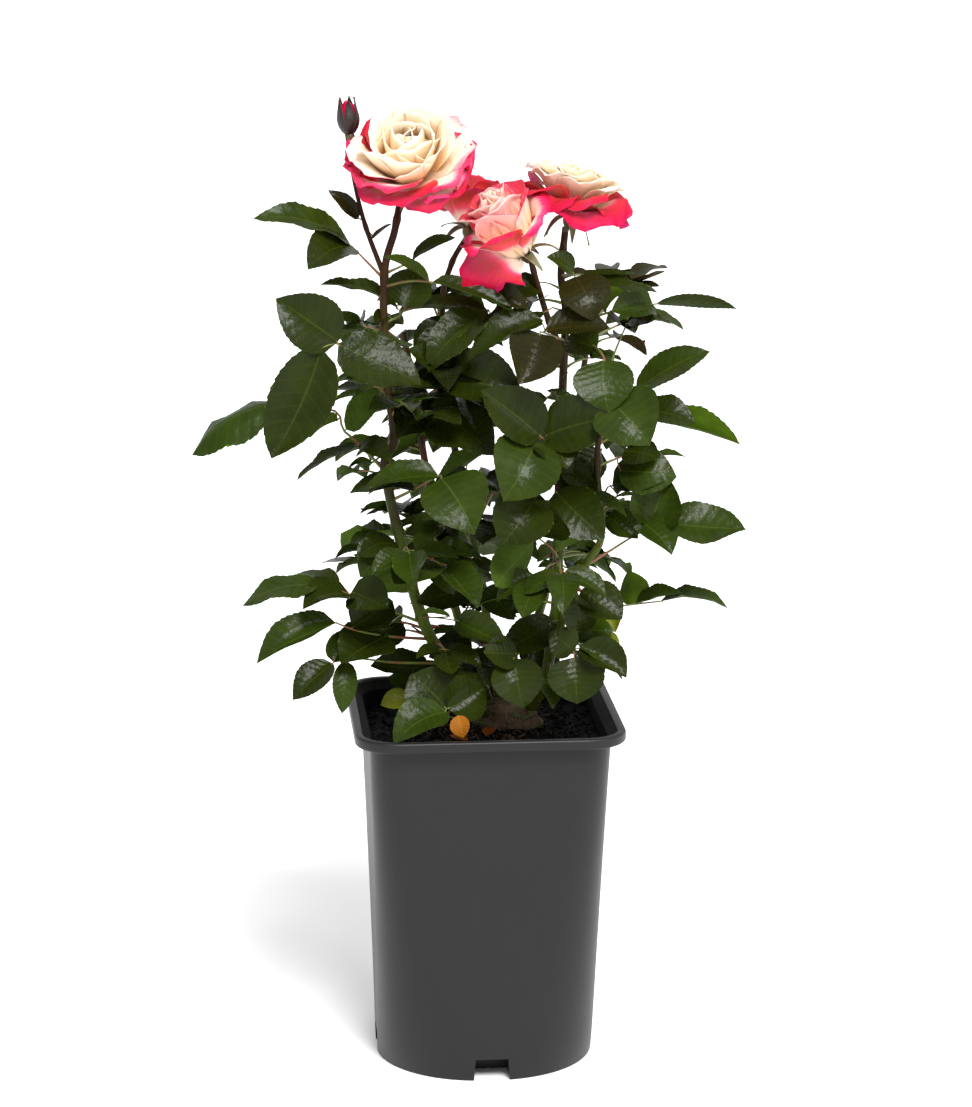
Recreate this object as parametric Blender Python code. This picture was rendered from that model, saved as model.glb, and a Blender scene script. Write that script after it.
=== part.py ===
"""Rose bush in its square-topped plastic container, as an assembly of closed solids.

Metres, +Z up. The origin is the middle of the container's flat underside, and -Y is the
front. A grafted knuckle sits on the compost. Canes climb from it, three flowers and a bud
stand at their tips, and uneven masses stand for the sprays of leaves along them.
"""

import math

import bmesh
import bpy
import numpy as np

GAP = 0.0003  # clearance between any two neighbouring solids
CUT_OVERRUN = 0.010  # how far a cutting tool stands out of what it cuts
SMOOTH_ANGLE = math.radians(40)  # faces that meet at less than this are shaded as one surface

# Container: the wall is nearly round at the foot and a rounded square under the lip.
POT_HEIGHT = 0.250
POT_TURN = math.radians(4.93)  # its square faces are turned a little from the row's axes
WALL_BASE_HALF = 0.0768
WALL_TOP_HALF = 0.0838
WALL_BASE_CORNER = 0.0740
WALL_TOP_CORNER = 0.0200
WALL_FLARE = 1.5  # power by which the wall widens with height
CORNER_CHANGE = 0.6  # power by which the corners tighten with height
SKIN = 0.0018
LIP_HALF = 0.0936
LIP_CORNER = 0.0300
LIP_BAND = 0.0068
LIP_ROUNDING = 0.0015
LIP_TOP_WIDTH = 0.0045
WALL_LEVELS = 5
CORNER_STEPS = 6

# Four drainage notches in the foot, each with a pocket behind it, and drain holes.
NOTCH_HEIGHT = 0.0155
NOTCH_TOP_WIDTH = 0.0230
NOTCH_FOOT_WIDTH = 0.0270
NOTCH_REACH = 0.0520  # from the container's axis to the back of the pocket
DRAIN_RADIUS = 0.0050
DRAIN_SIDES = 10
DRAIN_PLACE = 0.0460
DRAIN_OVERLAP = 0.0005  # how far the drain's tool reaches above the container's floor

COMPOST_LEVEL = 0.232

KNUCKLE_CENTRE = (0.016, 0.010, 0.237)
KNUCKLE_SIZE = (0.025, 0.019, 0.017)
KNUCKLE_AROUND = 14
KNUCKLE_ALONG = 8
KNUCKLE_SEED = 4

CANE_SIDES = 6
CANE_STEP = 0.034  # spacing of a cane's rings along its route

# Each cane: the points it passes through, its radius at the foot and at the tip.
CANES = {
    "cane_left": (
        [(6, 8, 238), (-19, 0, 276), (-39, -10, 308), (-54, -16, 360), (-67, -19, 425),
         (-61, -18, 447), (-67, -15, 500), (-67, -12, 559), (-60, -11, 588), (-57, -5, 604)],
        0.0046, 0.0024,
    ),
    "cane_middle": (
        [(13, 16, 240), (6, 22, 285), (0, 18, 330), (-8, 14, 375), (-22, 12, 450),
         (-28, 14, 530), (-22, 20, 560), (-11, 22, 580)],
        0.0034, 0.0018,
    ),
    "cane_right": (
        [(28, 12, 238), (43, -2, 268), (51, -12, 326), (53, -4, 399), (55, 4, 468),
         (57, 6, 531), (54, 8, 555), (57, 10, 588)],
        0.0042, 0.0024,
    ),
    "cane_back_left": (
        [(8, 17, 240), (-12, 42, 285), (-30, 60, 350), (-44, 68, 430), (-56, 74, 505)],
        0.0036, 0.0020,
    ),
    "cane_back_right": (
        [(22, 17, 240), (36, 44, 290), (54, 62, 360), (66, 70, 440), (76, 72, 510)],
        0.0036, 0.0020,
    ),
}

# Side boughs: the cane each leaves, the height it leaves it, then as above.
SIDE_BOUGHS = {
    "bud_bough": (
        "cane_left", 557,
        [(-80, -6, 591), (-88, 2, 622), (-93, 7, 652)],
        0.0019, 0.0011,
    ),
    "centre_bloom_bough": (
        "cane_right", 500,
        [(46, -5, 524), (38, -12, 550), (30, -17, 578)],
        0.0024, 0.0018,
    ),
    "cane_far_right": (
        "cane_right", 292,
        [(62, -19, 335), (73, -21, 360), (82, -18, 378), (79, -12, 430), (84, -8, 480)],
        0.0030, 0.0019,
    ),
}

# Flowers: centre, direction the flower faces, radius, height above and below its centre.
FLOWERS = {
    "bloom_left": ((-49, -20, 640), (-0.06, -0.60, 0.80), 50, 17, 34),
    "bloom_centre": ((10, -29, 591), (-0.50, -0.25, 0.83), 38, 38, 27),
    "bloom_right": ((68, 8, 619), (0.10, 0.02, 1.00), 42, 17, 30),
    "bloom_back": ((-7, 26, 602), (0.15, 0.45, 0.88), 25, 17, 21),
    "bud": ((-92, 8, 665), (-0.10, 0.02, 1.00), 8, 14.5, 13.5),
}

# Leaf masses: the limb each grows from, the height it leaves it, its heading in degrees
# from +X towards +Y, then its reach, its rise, its breadth and its depth in millimetres.
MASSES = {
    "left_top_spray": ("cane_left", 556, 186, 90, 40, 58, 42),
    "left_high_spray": ("cane_left", 522, 197, 84, 4, 62, 50),
    "left_broad_spray": ("cane_left", 474, 212, 96, -10, 66, 72),
    "left_tip_spray": ("cane_left", 440, 176, 140, -2, 62, 50),
    "left_waist_spray": ("cane_left", 422, 196, 80, 2, 60, 38),
    "left_low_spray": ("cane_left", 332, 187, 124, -8, 74, 64),
    "left_rim_spray": ("cane_left", 304, 202, 84, -24, 64, 50),
    "neck_left_spray": ("cane_left", 543, 330, 78, -6, 62, 46),
    "neck_right_spray": ("cane_right", 530, 205, 66, -14, 66, 52),
    "heart_high_spray": ("cane_middle", 482, 268, 72, -2, 96, 56),
    "heart_low_spray": ("cane_middle", 392, 272, 66, -2, 100, 62),
    "front_left_spray": ("cane_left", 452, 297, 106, -4, 76, 58),
    "front_right_spray": ("cane_right", 436, 256, 112, -4, 80, 62),
    "front_low_left_spray": ("cane_left", 362, 290, 96, -2, 76, 60),
    "front_low_right_spray": ("cane_right", 366, 262, 92, -2, 80, 60),
    "foot_left_spray": ("cane_left", 300, 300, 66, 2, 76, 52),
    "foot_front_spray": ("cane_left", 272, 235, 58, -10, 60, 34),
    "foot_right_spray": ("cane_right", 292, 285, 56, -2, 88, 54),
    "right_top_spray": ("cane_right", 540, 352, 122, -4, 68, 46),
    "right_high_spray": ("cane_right", 493, 336, 104, 8, 70, 58),
    "right_mid_spray": ("cane_far_right", 442, 348, 98, 0, 72, 54),
    "right_low_spray": ("cane_far_right", 390, 342, 102, 0, 72, 58),
    "right_foot_spray": ("cane_right", 336, 352, 116, 0, 64, 46),
    "right_rim_spray": ("cane_right", 296, 338, 62, -8, 62, 46),
    "back_crown_left_spray": ("cane_back_left", 496, 128, 74, 16, 88, 60),
    "back_crown_right_spray": ("cane_back_right", 500, 48, 72, 16, 88, 60),
    "back_neck_spray": ("cane_middle", 512, 92, 86, 6, 78, 56),
    "back_heart_spray": ("cane_middle", 440, 96, 118, 2, 84, 60),
    "back_low_spray": ("cane_middle", 360, 94, 122, 0, 90, 62),
    "back_left_spray": ("cane_back_left", 428, 132, 78, 2, 80, 62),
    "back_right_spray": ("cane_back_right", 430, 48, 76, 2, 80, 62),
    "back_left_low_spray": ("cane_back_left", 346, 128, 82, -2, 84, 62),
    "back_right_low_spray": ("cane_back_right", 350, 48, 78, -2, 84, 62),
    "back_foot_spray": ("cane_back_left", 292, 88, 66, -6, 100, 46),
}
SPRAYS_OVER_COMPOST = ("foot_front_spray",)  # these dip inside the lip

MASS_AROUND = 10
MASS_ALONG = 7
MASS_FULLNESS = 2.3  # power of the superellipsoid: 2 is an ellipsoid, more is boxier
MASS_LUMPINESS = 0.10
MASS_WAVES = 4
MASS_WAVE_RATE = 2.2  # how quickly the swellings change from one direction to the next
MASS_GRIP = 0.010  # how far a mass reaches past the far side of its limb
MASS_OVER_RIM = 0.002  # clearance of a mass above the lip or the compost
MASS_OFF_WALL = 0.014  # clearance of a mass inside the lip
LIMB_NEAR = 0.012  # a limb this close to a mass is cut out of it
LIMB_NEAR_SHARE = 1.15
FLOWER_AROUND = 15
FLOWER_ALONG = 7
PETAL_LOBES = 5
PETAL_LOBE_DEPTH = 0.05
DISH_POWER = 2.6  # the flower's upper side: a flat dish with a round rim
CONE_POWER = 1.35  # its under side: close to a cone
MM = 0.001

COLOURS = {
    "pot_plastic": ((0.062, 0.062, 0.064), 0.55),
    "compost": ((0.018, 0.013, 0.010), 0.95),
    "cane_bark": ((0.115, 0.090, 0.032), 0.60),
    "foliage": ((0.035, 0.075, 0.016), 0.45),
    "petals": ((0.750, 0.330, 0.300), 0.55),
}


def clear_scene():
    """Remove every object the file starts with."""
    for old in list(bpy.data.objects):
        bpy.data.objects.remove(old)


def make_material(name):
    colour, roughness = COLOURS[name]
    material = bpy.data.materials.new(name)
    material.use_nodes = True
    shader = material.node_tree.nodes["Principled BSDF"]
    shader.inputs["Base Color"].default_value = (*colour, 1.0)
    shader.inputs["Roughness"].default_value = roughness
    return material


def add_object(name, vertices, faces, material=None, smooth=False):
    """One named object from a closed mesh, its faces pointing outwards."""
    mesh = bpy.data.meshes.new(name)
    mesh.from_pydata([tuple(v) for v in vertices], [], faces)
    shape = bmesh.new()
    shape.from_mesh(mesh)
    bmesh.ops.recalc_face_normals(shape, faces=shape.faces)
    shape.to_mesh(mesh)
    shape.free()
    if smooth:
        mesh.shade_smooth()
        mesh.set_sharp_from_angle(angle=SMOOTH_ANGLE)
    thing = bpy.data.objects.new(name, mesh)
    bpy.context.scene.collection.objects.link(thing)
    if material:
        mesh.materials.append(material)
    return thing


def as_cutter(thing):
    """Keep an object only as a tool for Boolean cuts."""
    thing.hide_render = True
    thing.display_type = "WIRE"
    return thing


def cut(thing, tool):
    """Take the tool's space out of the thing."""
    modifier = thing.modifiers.new("cut by " + tool.name, "BOOLEAN")
    modifier.operation = "DIFFERENCE"
    modifier.solver = "EXACT"
    modifier.object = tool


def skin_rings(rings):
    """Faces over a stack of equal rings of points, with a flat cap on each end."""
    count = len(rings[0])
    vertices = [point for ring in rings for point in ring]
    faces = []
    for level in range(len(rings) - 1):
        for side in range(count):
            a = level * count + side
            b = level * count + (side + 1) % count
            faces.append((a, b, b + count, a + count))
    faces.append(tuple(range(count)))
    faces.append(tuple(range(len(vertices) - count, len(vertices))))
    return vertices, faces


# --- Container -----------------------------------------------------------------------


def rounded_square(half, corner, height):
    """A level ring: four corner arcs joined by straight sides, turned with the pot."""
    ring = []
    for quarter in range(4):
        middle = math.pi / 4 + quarter * math.pi / 2
        cx = math.copysign(half - corner, math.cos(middle))
        cy = math.copysign(half - corner, math.sin(middle))
        for step in range(CORNER_STEPS + 1):
            angle = quarter * math.pi / 2 + step / CORNER_STEPS * math.pi / 2
            x = cx + corner * math.cos(angle)
            y = cy + corner * math.sin(angle)
            ring.append(turn(x, y, height))
    return ring


def turn(x, y, z):
    """A point of the container as it is moulded, turned into the row's axes."""
    c, s = math.cos(POT_TURN), math.sin(POT_TURN)
    return (c * x - s * y, s * x + c * y, z)


def wall_ring(height, inset=0.0):
    """The wall's outer ring at a height, or one moved inwards by the inset."""
    share = height / POT_HEIGHT
    half = WALL_BASE_HALF + (WALL_TOP_HALF - WALL_BASE_HALF) * share**WALL_FLARE
    corner = WALL_BASE_CORNER + (WALL_TOP_CORNER - WALL_BASE_CORNER) * share**CORNER_CHANGE
    return rounded_square(half - inset, corner - inset, height)


def wall_heights(low, high):
    return [low + (high - low) * level / WALL_LEVELS for level in range(WALL_LEVELS + 1)]


def wedge(name, grow):
    """A notch and its pocket as one trapezoid block across the foot, grown all round."""
    top = NOTCH_TOP_WIDTH / 2 + grow
    foot = NOTCH_FOOT_WIDTH / 2 + grow
    outer = -(WALL_TOP_HALF + CUT_OVERRUN)
    inner = -(NOTCH_REACH - grow)
    low, high = -CUT_OVERRUN, NOTCH_HEIGHT + grow
    outline = [(-foot, low), (foot, low), (top, high), (-top, high)]
    rings = [[(x, y, z) for x, z in outline] for y in (outer, inner)]
    vertices, faces = skin_rings(rings)
    return as_cutter(add_object(name, vertices, faces))


def wedges_round_the_foot(label, grow):
    """The four notch blocks, one in the middle of each face of the container."""
    tools = []
    for face in range(4):
        tool = wedge(f"{label}_{face}", grow)
        tool.rotation_euler.z = POT_TURN + face * math.pi / 2
        tools.append(tool)
    return tools


def drain_hole(face):
    """A short round post between two notches, as the tool for one drain hole."""
    angle = POT_TURN + math.pi / 4 + face * math.pi / 2
    cx, cy = DRAIN_PLACE * math.cos(angle), DRAIN_PLACE * math.sin(angle)
    rings = []
    for z in (-CUT_OVERRUN, SKIN + DRAIN_OVERLAP):
        ring = []
        for side in range(DRAIN_SIDES):
            around = 2 * math.pi * side / DRAIN_SIDES
            ring.append((cx + DRAIN_RADIUS * math.cos(around),
                         cy + DRAIN_RADIUS * math.sin(around), z))
        rings.append(ring)
    vertices, faces = skin_rings(rings)
    return as_cutter(add_object(f"drain_tool_{face}", vertices, faces))


def build_pot(material):
    """The moulded container: outer form, less its cavity, notches and drain holes."""
    lip_foot = POT_HEIGHT - LIP_BAND
    outer = [wall_ring(z) for z in wall_heights(0.0, lip_foot)]
    outer.append(rounded_square(LIP_HALF, LIP_CORNER, lip_foot))
    outer.append(rounded_square(LIP_HALF, LIP_CORNER, POT_HEIGHT - LIP_ROUNDING))
    outer.append(rounded_square(LIP_HALF - LIP_ROUNDING, LIP_CORNER - LIP_ROUNDING, POT_HEIGHT))
    pot = add_object("pot", *skin_rings(outer), material, smooth=True)

    mouth_half = LIP_HALF - LIP_ROUNDING - LIP_TOP_WIDTH
    mouth_corner = LIP_CORNER - LIP_ROUNDING - LIP_TOP_WIDTH
    inner = [wall_ring(z, SKIN) for z in wall_heights(SKIN, lip_foot)]
    inner.append(rounded_square(mouth_half, mouth_corner, POT_HEIGHT))
    inner.append(rounded_square(mouth_half, mouth_corner, POT_HEIGHT + CUT_OVERRUN))
    cavity = as_cutter(add_object("pot_cavity", *skin_rings(inner)))
    for tool in wedges_round_the_foot("pocket_wall", SKIN):
        cut(cavity, tool)

    cut(pot, cavity)
    for tool in wedges_round_the_foot("notch", 0.0):
        cut(pot, tool)
    for face in range(4):
        cut(pot, drain_hole(face))


def build_compost(material):
    """The compost fills the container up to its level, clear of wall and pockets."""
    rings = [wall_ring(z, SKIN + GAP) for z in wall_heights(SKIN + GAP, COMPOST_LEVEL)]
    compost = add_object("compost", *skin_rings(rings), material)
    for tool in wedges_round_the_foot("pocket_space", SKIN + GAP):
        cut(compost, tool)


# --- Canes ---------------------------------------------------------------------------


def smooth_route(points, step):
    """Points along a Catmull-Rom curve through the given ones, about a step apart."""
    points = np.array(points, float) * MM
    padded = np.vstack([2 * points[0] - points[1], points, 2 * points[-1] - points[-2]])
    found = [points[0]]
    for i in range(len(points) - 1):
        before, start, end, after = padded[i : i + 4]
        pieces = max(1, round(np.linalg.norm(end - start) / step))
        for piece in range(1, pieces + 1):
            t = piece / pieces
            found.append(
                0.5 * (2 * start + (end - before) * t
                       + (2 * before - 5 * start + 4 * end - after) * t**2
                       + (3 * start - before - 3 * end + after) * t**3)
            )
    return np.array(found)


def tube(route, foot_radius, tip_radius):
    """Rings of a tapering round limb along a route, widest at its foot."""
    along = np.gradient(route, axis=0)
    along /= np.linalg.norm(along, axis=1)[:, None]
    side = np.cross(along, (0.0, 1.0, 0.0))
    side /= np.linalg.norm(side, axis=1)[:, None]
    front = np.cross(side, along)
    travelled = np.concatenate([[0], np.cumsum(np.linalg.norm(np.diff(route, axis=0), axis=1))])
    radius = foot_radius + (tip_radius - foot_radius) * travelled / travelled[-1]
    rings = []
    for centre, s, f, r in zip(route, side, front, radius):
        angles = 2 * math.pi * np.arange(CANE_SIDES) / CANE_SIDES
        rings.append(centre + r * (np.cos(angles)[:, None] * s + np.sin(angles)[:, None] * f))
    return rings


def build_limb(name, points, foot_radius, tip_radius, material):
    """A cane or bough, and the slightly fatter tool that cuts its neighbours."""
    route = smooth_route(points, CANE_STEP)
    limb = add_object(name, *skin_rings(tube(route, foot_radius, tip_radius)), material, True)
    tool_rings = tube(route, foot_radius + GAP, tip_radius + GAP)
    tool = as_cutter(add_object(name + "_space", *skin_rings(tool_rings)))
    return {"object": limb, "tool": tool, "route": route, "radius": foot_radius}


def point_at_height(route, height):
    """The point of a rising route at a height."""
    heights = route[:, 2]
    return np.array([np.interp(height, heights, route[:, axis]) for axis in range(3)])


# --- Masses and flowers --------------------------------------------------------------


class Blob:
    """A lumpy solid seen whole from its own centre, flattened where a neighbour begins."""

    def __init__(self, name, centre, axes, sizes):
        self.name = name
        self.centre = np.array(centre, float)
        self.axes = np.array(axes, float)  # rows: along, across, up
        self.sizes = np.array(sizes, float)
        self.limits = []  # (outward direction, distance) pairs that hold the surface in

    def spread(self):
        """The matrix of the ellipsoid's squared half sizes, in the row's axes."""
        return self.axes.T @ np.diag(self.sizes**2) @ self.axes

    def reach(self, direction):
        """How far the ellipsoid stands out of its centre in a direction."""
        return math.sqrt(direction @ self.spread() @ direction) * (1 + MASS_LUMPINESS)

    def surface(self, around, along, radius_of):
        """Vertices and faces on a sphere's grid, at the radius of each direction."""
        points = [self.place((1.0, 0.0, 0.0), radius_of)]
        for level in range(1, along):
            polar = math.pi * level / along
            for side in range(around):
                turned = 2 * math.pi * side / around
                local = (math.cos(polar), math.sin(polar) * math.cos(turned),
                         math.sin(polar) * math.sin(turned))
                points.append(self.place(local, radius_of))
        points.append(self.place((-1.0, 0.0, 0.0), radius_of))
        last = len(points) - 1
        faces = []
        for side in range(around):
            after = (side + 1) % around
            faces.append((0, 1 + side, 1 + after))
            end = 1 + (along - 2) * around
            faces.append((last, end + after, end + side))
            for level in range(along - 2):
                a = 1 + level * around + side
                b = 1 + level * around + after
                faces.append((a, a + around, b + around))
                faces.append((a, b + around, b))
        return points, faces

    def place(self, local, radius_of):
        """The surface point in one direction, held inside every limit."""
        local = np.array(local)
        direction = local @ self.axes
        radius = radius_of(local)
        for outward, distance in self.limits:
            facing = outward @ direction
            if facing > 1e-6:
                radius = min(radius, distance / facing)
        return self.centre + radius * direction


def share_space(first, second):
    """Part two blobs by a plane between them, nearer the smaller one."""
    apart = second.centre - first.centre
    outward = np.linalg.solve(first.spread() + second.spread(), apart)
    outward /= np.linalg.norm(outward)
    distance = outward @ apart
    a, b = first.reach(outward), second.reach(outward)
    if a + b + GAP < distance:
        return
    first.limits.append((outward, distance * a / (a + b) - GAP))
    second.limits.append((-outward, distance * b / (a + b) - GAP))


def give_way(mass, flower):
    """Hold a mass back from a flower, which keeps its whole shape."""
    apart = flower.centre - mass.centre
    outward = np.linalg.solve(mass.spread() + flower.spread(), apart)
    outward /= np.linalg.norm(outward)
    room = outward @ apart - flower.reach(outward) - GAP
    if room < mass.reach(outward):
        mass.limits.append((outward, room))


def superellipsoid(sizes, fullness):
    """Radius by local direction for a rounded block with the given half sizes."""
    def radius_of(local):
        return float(((np.abs(local) / sizes) ** fullness).sum() ** (-1 / fullness))
    return radius_of


def lumpy(radius_of, seed):
    """The same radius with broad, uneven swellings."""
    draw = np.random.default_rng(seed)
    waves = draw.normal(0, MASS_WAVE_RATE, (MASS_WAVES, 3))
    phases = draw.uniform(0, 2 * math.pi, MASS_WAVES)
    def uneven(local):
        swell = np.sin(waves @ local + phases).mean()
        return radius_of(local) * (1 + 2 * MASS_LUMPINESS * swell)
    return uneven


def flower_radius(size, above, below):
    """Radius by local direction for an open flower: a lobed dish over a cone."""
    def radius_of(local):
        up, across, deep = local
        out = math.hypot(across, deep)
        lobes = 1 + PETAL_LOBE_DEPTH * math.cos(PETAL_LOBES * math.atan2(deep, across))
        height = above if up > 0 else below
        power = DISH_POWER if up > 0 else CONE_POWER
        return ((abs(up) / height) ** power + (out / (size * lobes)) ** power) ** (-1 / power)
    return radius_of


def frame_along(direction):
    """Three unit rows: along the direction, level across it, and the third."""
    along = np.array(direction, float)
    along /= np.linalg.norm(along)
    across = np.cross((0.0, 0.0, 1.0), along)
    if np.linalg.norm(across) < 0.05:
        across = np.array((0.0, 1.0, 0.0))
    across /= np.linalg.norm(across)
    return np.array([along, across, np.cross(along, across)])


def mass_blob(name, limbs):
    """The blob of one spray, from its limb outwards along its heading."""
    limb, height, heading, reach, rise, breadth, depth = MASSES[name]
    root = point_at_height(limbs[limb]["route"], height * MM)
    heading = math.radians(heading)
    outwards = np.array([math.cos(heading) * reach, math.sin(heading) * reach, rise]) * MM
    length = np.linalg.norm(outwards)
    axes = frame_along(outwards)
    centre = root + outwards / 2 - axes[0] * MASS_GRIP / 2
    sizes = ((length + MASS_GRIP) / 2, breadth * MM / 2, depth * MM / 2)
    return Blob(name, centre, axes, sizes)


def flower_blob(name):
    centre, facing, size, above, below = FLOWERS[name]
    tall = max(above, below)
    blob = Blob(name, np.array(centre) * MM, frame_along(facing), np.array((tall, size, size)) * MM)
    return blob


def keep_off_the_pot(blob):
    """Hold a mass above the lip, or inside the opening just over the compost."""
    down = np.array((0.0, 0.0, -1.0))
    floor = POT_HEIGHT + MASS_OVER_RIM
    if blob.name in SPRAYS_OVER_COMPOST:
        floor = COMPOST_LEVEL + MASS_OVER_RIM
        room = LIP_HALF - MASS_OFF_WALL
        for face in range(4):
            angle = POT_TURN + face * math.pi / 2
            outward = np.array((math.cos(angle), math.sin(angle), 0.0))
            blob.limits.append((outward, room - outward @ blob.centre))
    blob.limits.append((down, blob.centre[2] - floor))


def passes_through(limb, blob):
    """True where a limb comes inside the blob's ellipsoid or close to it."""
    local = (limb["route"] - blob.centre) @ blob.axes.T / (blob.sizes + LIMB_NEAR)
    return bool((np.linalg.norm(local, axis=1) < LIMB_NEAR_SHARE).any())


def build_knuckle(material):
    """The swollen graft, flat where it rests on the compost. Returns its cutting tool."""
    made = []
    for name, grow in (("graft_knuckle", 0.0), ("graft_knuckle_space", GAP)):
        blob = Blob(name, KNUCKLE_CENTRE, np.eye(3), np.array(KNUCKLE_SIZE) + grow)
        under = KNUCKLE_CENTRE[2] - COMPOST_LEVEL - GAP + grow
        blob.limits.append((np.array((0.0, 0.0, -1.0)), under))
        shape = lumpy(superellipsoid(blob.sizes, 2.0), KNUCKLE_SEED)
        surface = blob.surface(KNUCKLE_AROUND, KNUCKLE_ALONG, shape)
        made.append(add_object(name, *surface, material, smooth=True))
    return as_cutter(made[1])


def build_limbs(bark, knuckle_tool):
    """Every cane and side bough, each cut back to the skin of what carries it."""
    limbs = {}
    for name, (points, foot, tip) in CANES.items():
        limbs[name] = build_limb(name, points, foot, tip, bark)
        cut(limbs[name]["object"], knuckle_tool)
    for name, (parent, height, points, foot, tip) in SIDE_BOUGHS.items():
        root = point_at_height(limbs[parent]["route"], height * MM) / MM
        limbs[name] = build_limb(name, [root, *points], foot, tip, bark)
        cut(limbs[name]["object"], limbs[parent]["tool"])
    return limbs


def build_flowers(petals):
    """The open blooms and the bud, parted from each other."""
    blobs = [flower_blob(name) for name in FLOWERS]
    for i, first in enumerate(blobs):
        for second in blobs[i + 1 :]:
            share_space(first, second)
    for blob in blobs:
        _, _, size, above, below = FLOWERS[blob.name]
        shape = flower_radius(size * MM, above * MM, below * MM)
        add_object(blob.name, *blob.surface(FLOWER_AROUND, FLOWER_ALONG, shape), petals, True)
    return blobs


def build_masses(foliage, limbs, flowers, knuckle_tool):
    """Every leaf mass, parted from its neighbours and cut round the canes."""
    blobs = [mass_blob(name, limbs) for name in MASSES]
    for i, first in enumerate(blobs):
        keep_off_the_pot(first)
        for flower in flowers:
            give_way(first, flower)
        for second in blobs[i + 1 :]:
            share_space(first, second)
    for seed, blob in enumerate(blobs):
        shape = lumpy(superellipsoid(blob.sizes, MASS_FULLNESS), seed)
        mass = add_object(blob.name, *blob.surface(MASS_AROUND, MASS_ALONG, shape), foliage, True)
        for limb in limbs.values():
            if passes_through(limb, blob):
                cut(mass, limb["tool"])
        if blob.name.startswith("foot"):
            cut(mass, knuckle_tool)


def main():
    clear_scene()
    materials = {name: make_material(name) for name in COLOURS}
    build_pot(materials["pot_plastic"])
    build_compost(materials["compost"])
    knuckle_tool = build_knuckle(materials["cane_bark"])
    limbs = build_limbs(materials["cane_bark"], knuckle_tool)
    flowers = build_flowers(materials["petals"])
    build_masses(materials["foliage"], limbs, flowers, knuckle_tool)


main()
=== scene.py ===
# %% [markdown]
# # A rose bush in its container
# The real thing is a young garden rose, grafted low down and sold in a square black container.
# Woody canes rise from the graft, compound leaves leave them one at a time in a spiral, and each
# flowering cane ends in a large bloom, cream inside and crimson outside.
#
# The solid model holds the sizes: the container, the canes and one plain closed solid for each mass
# of leaves and each flower. This script grows the looks on that frame. Every surface is worked out as
# an array of points, so that its shape can be read as a formula.

import math

import bpy
import numpy as np
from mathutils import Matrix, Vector


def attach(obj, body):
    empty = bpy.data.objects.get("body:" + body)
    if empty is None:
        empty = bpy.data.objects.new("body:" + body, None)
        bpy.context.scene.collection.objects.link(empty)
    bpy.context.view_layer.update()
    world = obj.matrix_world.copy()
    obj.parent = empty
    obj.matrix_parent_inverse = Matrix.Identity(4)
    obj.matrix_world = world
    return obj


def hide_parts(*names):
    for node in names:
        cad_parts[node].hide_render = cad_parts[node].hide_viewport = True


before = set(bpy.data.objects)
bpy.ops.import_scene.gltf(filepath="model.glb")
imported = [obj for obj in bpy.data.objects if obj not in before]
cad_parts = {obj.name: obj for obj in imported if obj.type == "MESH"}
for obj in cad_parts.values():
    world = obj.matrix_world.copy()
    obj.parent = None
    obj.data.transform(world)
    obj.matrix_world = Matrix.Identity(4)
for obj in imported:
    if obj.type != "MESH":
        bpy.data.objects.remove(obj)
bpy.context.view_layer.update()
MM = 0.001
TURN = 2 * math.pi
GOLDEN = math.radians(137.508)
print("nodes in the frame:", len(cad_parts))

# %% [markdown]
# ## Camera
# The object is looked at from a little above, from about two and a half metres, with a long lens.
# A long lens keeps the container's upright sides nearly parallel. Depth of field stays off.

# %% Camera
CAMERA_PLACE = (0.00227, -2.44441, 0.90424)
CAMERA_DIP = math.radians(12.54)
CAMERA_LENS = 116.64
SENSOR_WIDTH = 36.0

camera_data = bpy.data.cameras.new("camera")
camera_data.lens = CAMERA_LENS
camera_data.sensor_width = SENSOR_WIDTH
camera = bpy.data.objects.new("camera", camera_data)
camera.location = CAMERA_PLACE
camera.rotation_euler = (math.pi / 2 - CAMERA_DIP, 0.0, 0.0)
bpy.context.collection.objects.link(camera)
bpy.context.scene.camera = camera
bpy.context.scene.view_settings.view_transform = "Standard"
print("camera stands", round(-CAMERA_PLACE[1], 2), "m in front, dips", round(math.degrees(CAMERA_DIP), 1))

# %% [markdown]
# ## Finishes
# Each finish is a small tree of nodes. A helper keeps a tree short to write: it adds a node, sets its
# values and links what feeds it. Colours are written as six-digit screen tints, and turned into the
# linear values that light needs.

# %% Finishes
def tint(code):
    """A linear colour from a tint such as '4a4a4c': each part is divided by 255, and the screen's
    curve is undone with ((part + 0.055) / 1.055) to the power 2.4."""
    parts = [int(code[i : i + 2], 16) / 255 for i in (0, 2, 4)]
    return tuple(p / 12.92 if p <= 0.04045 else ((p + 0.055) / 1.055) ** 2.4 for p in parts) + (1.0,)


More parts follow.
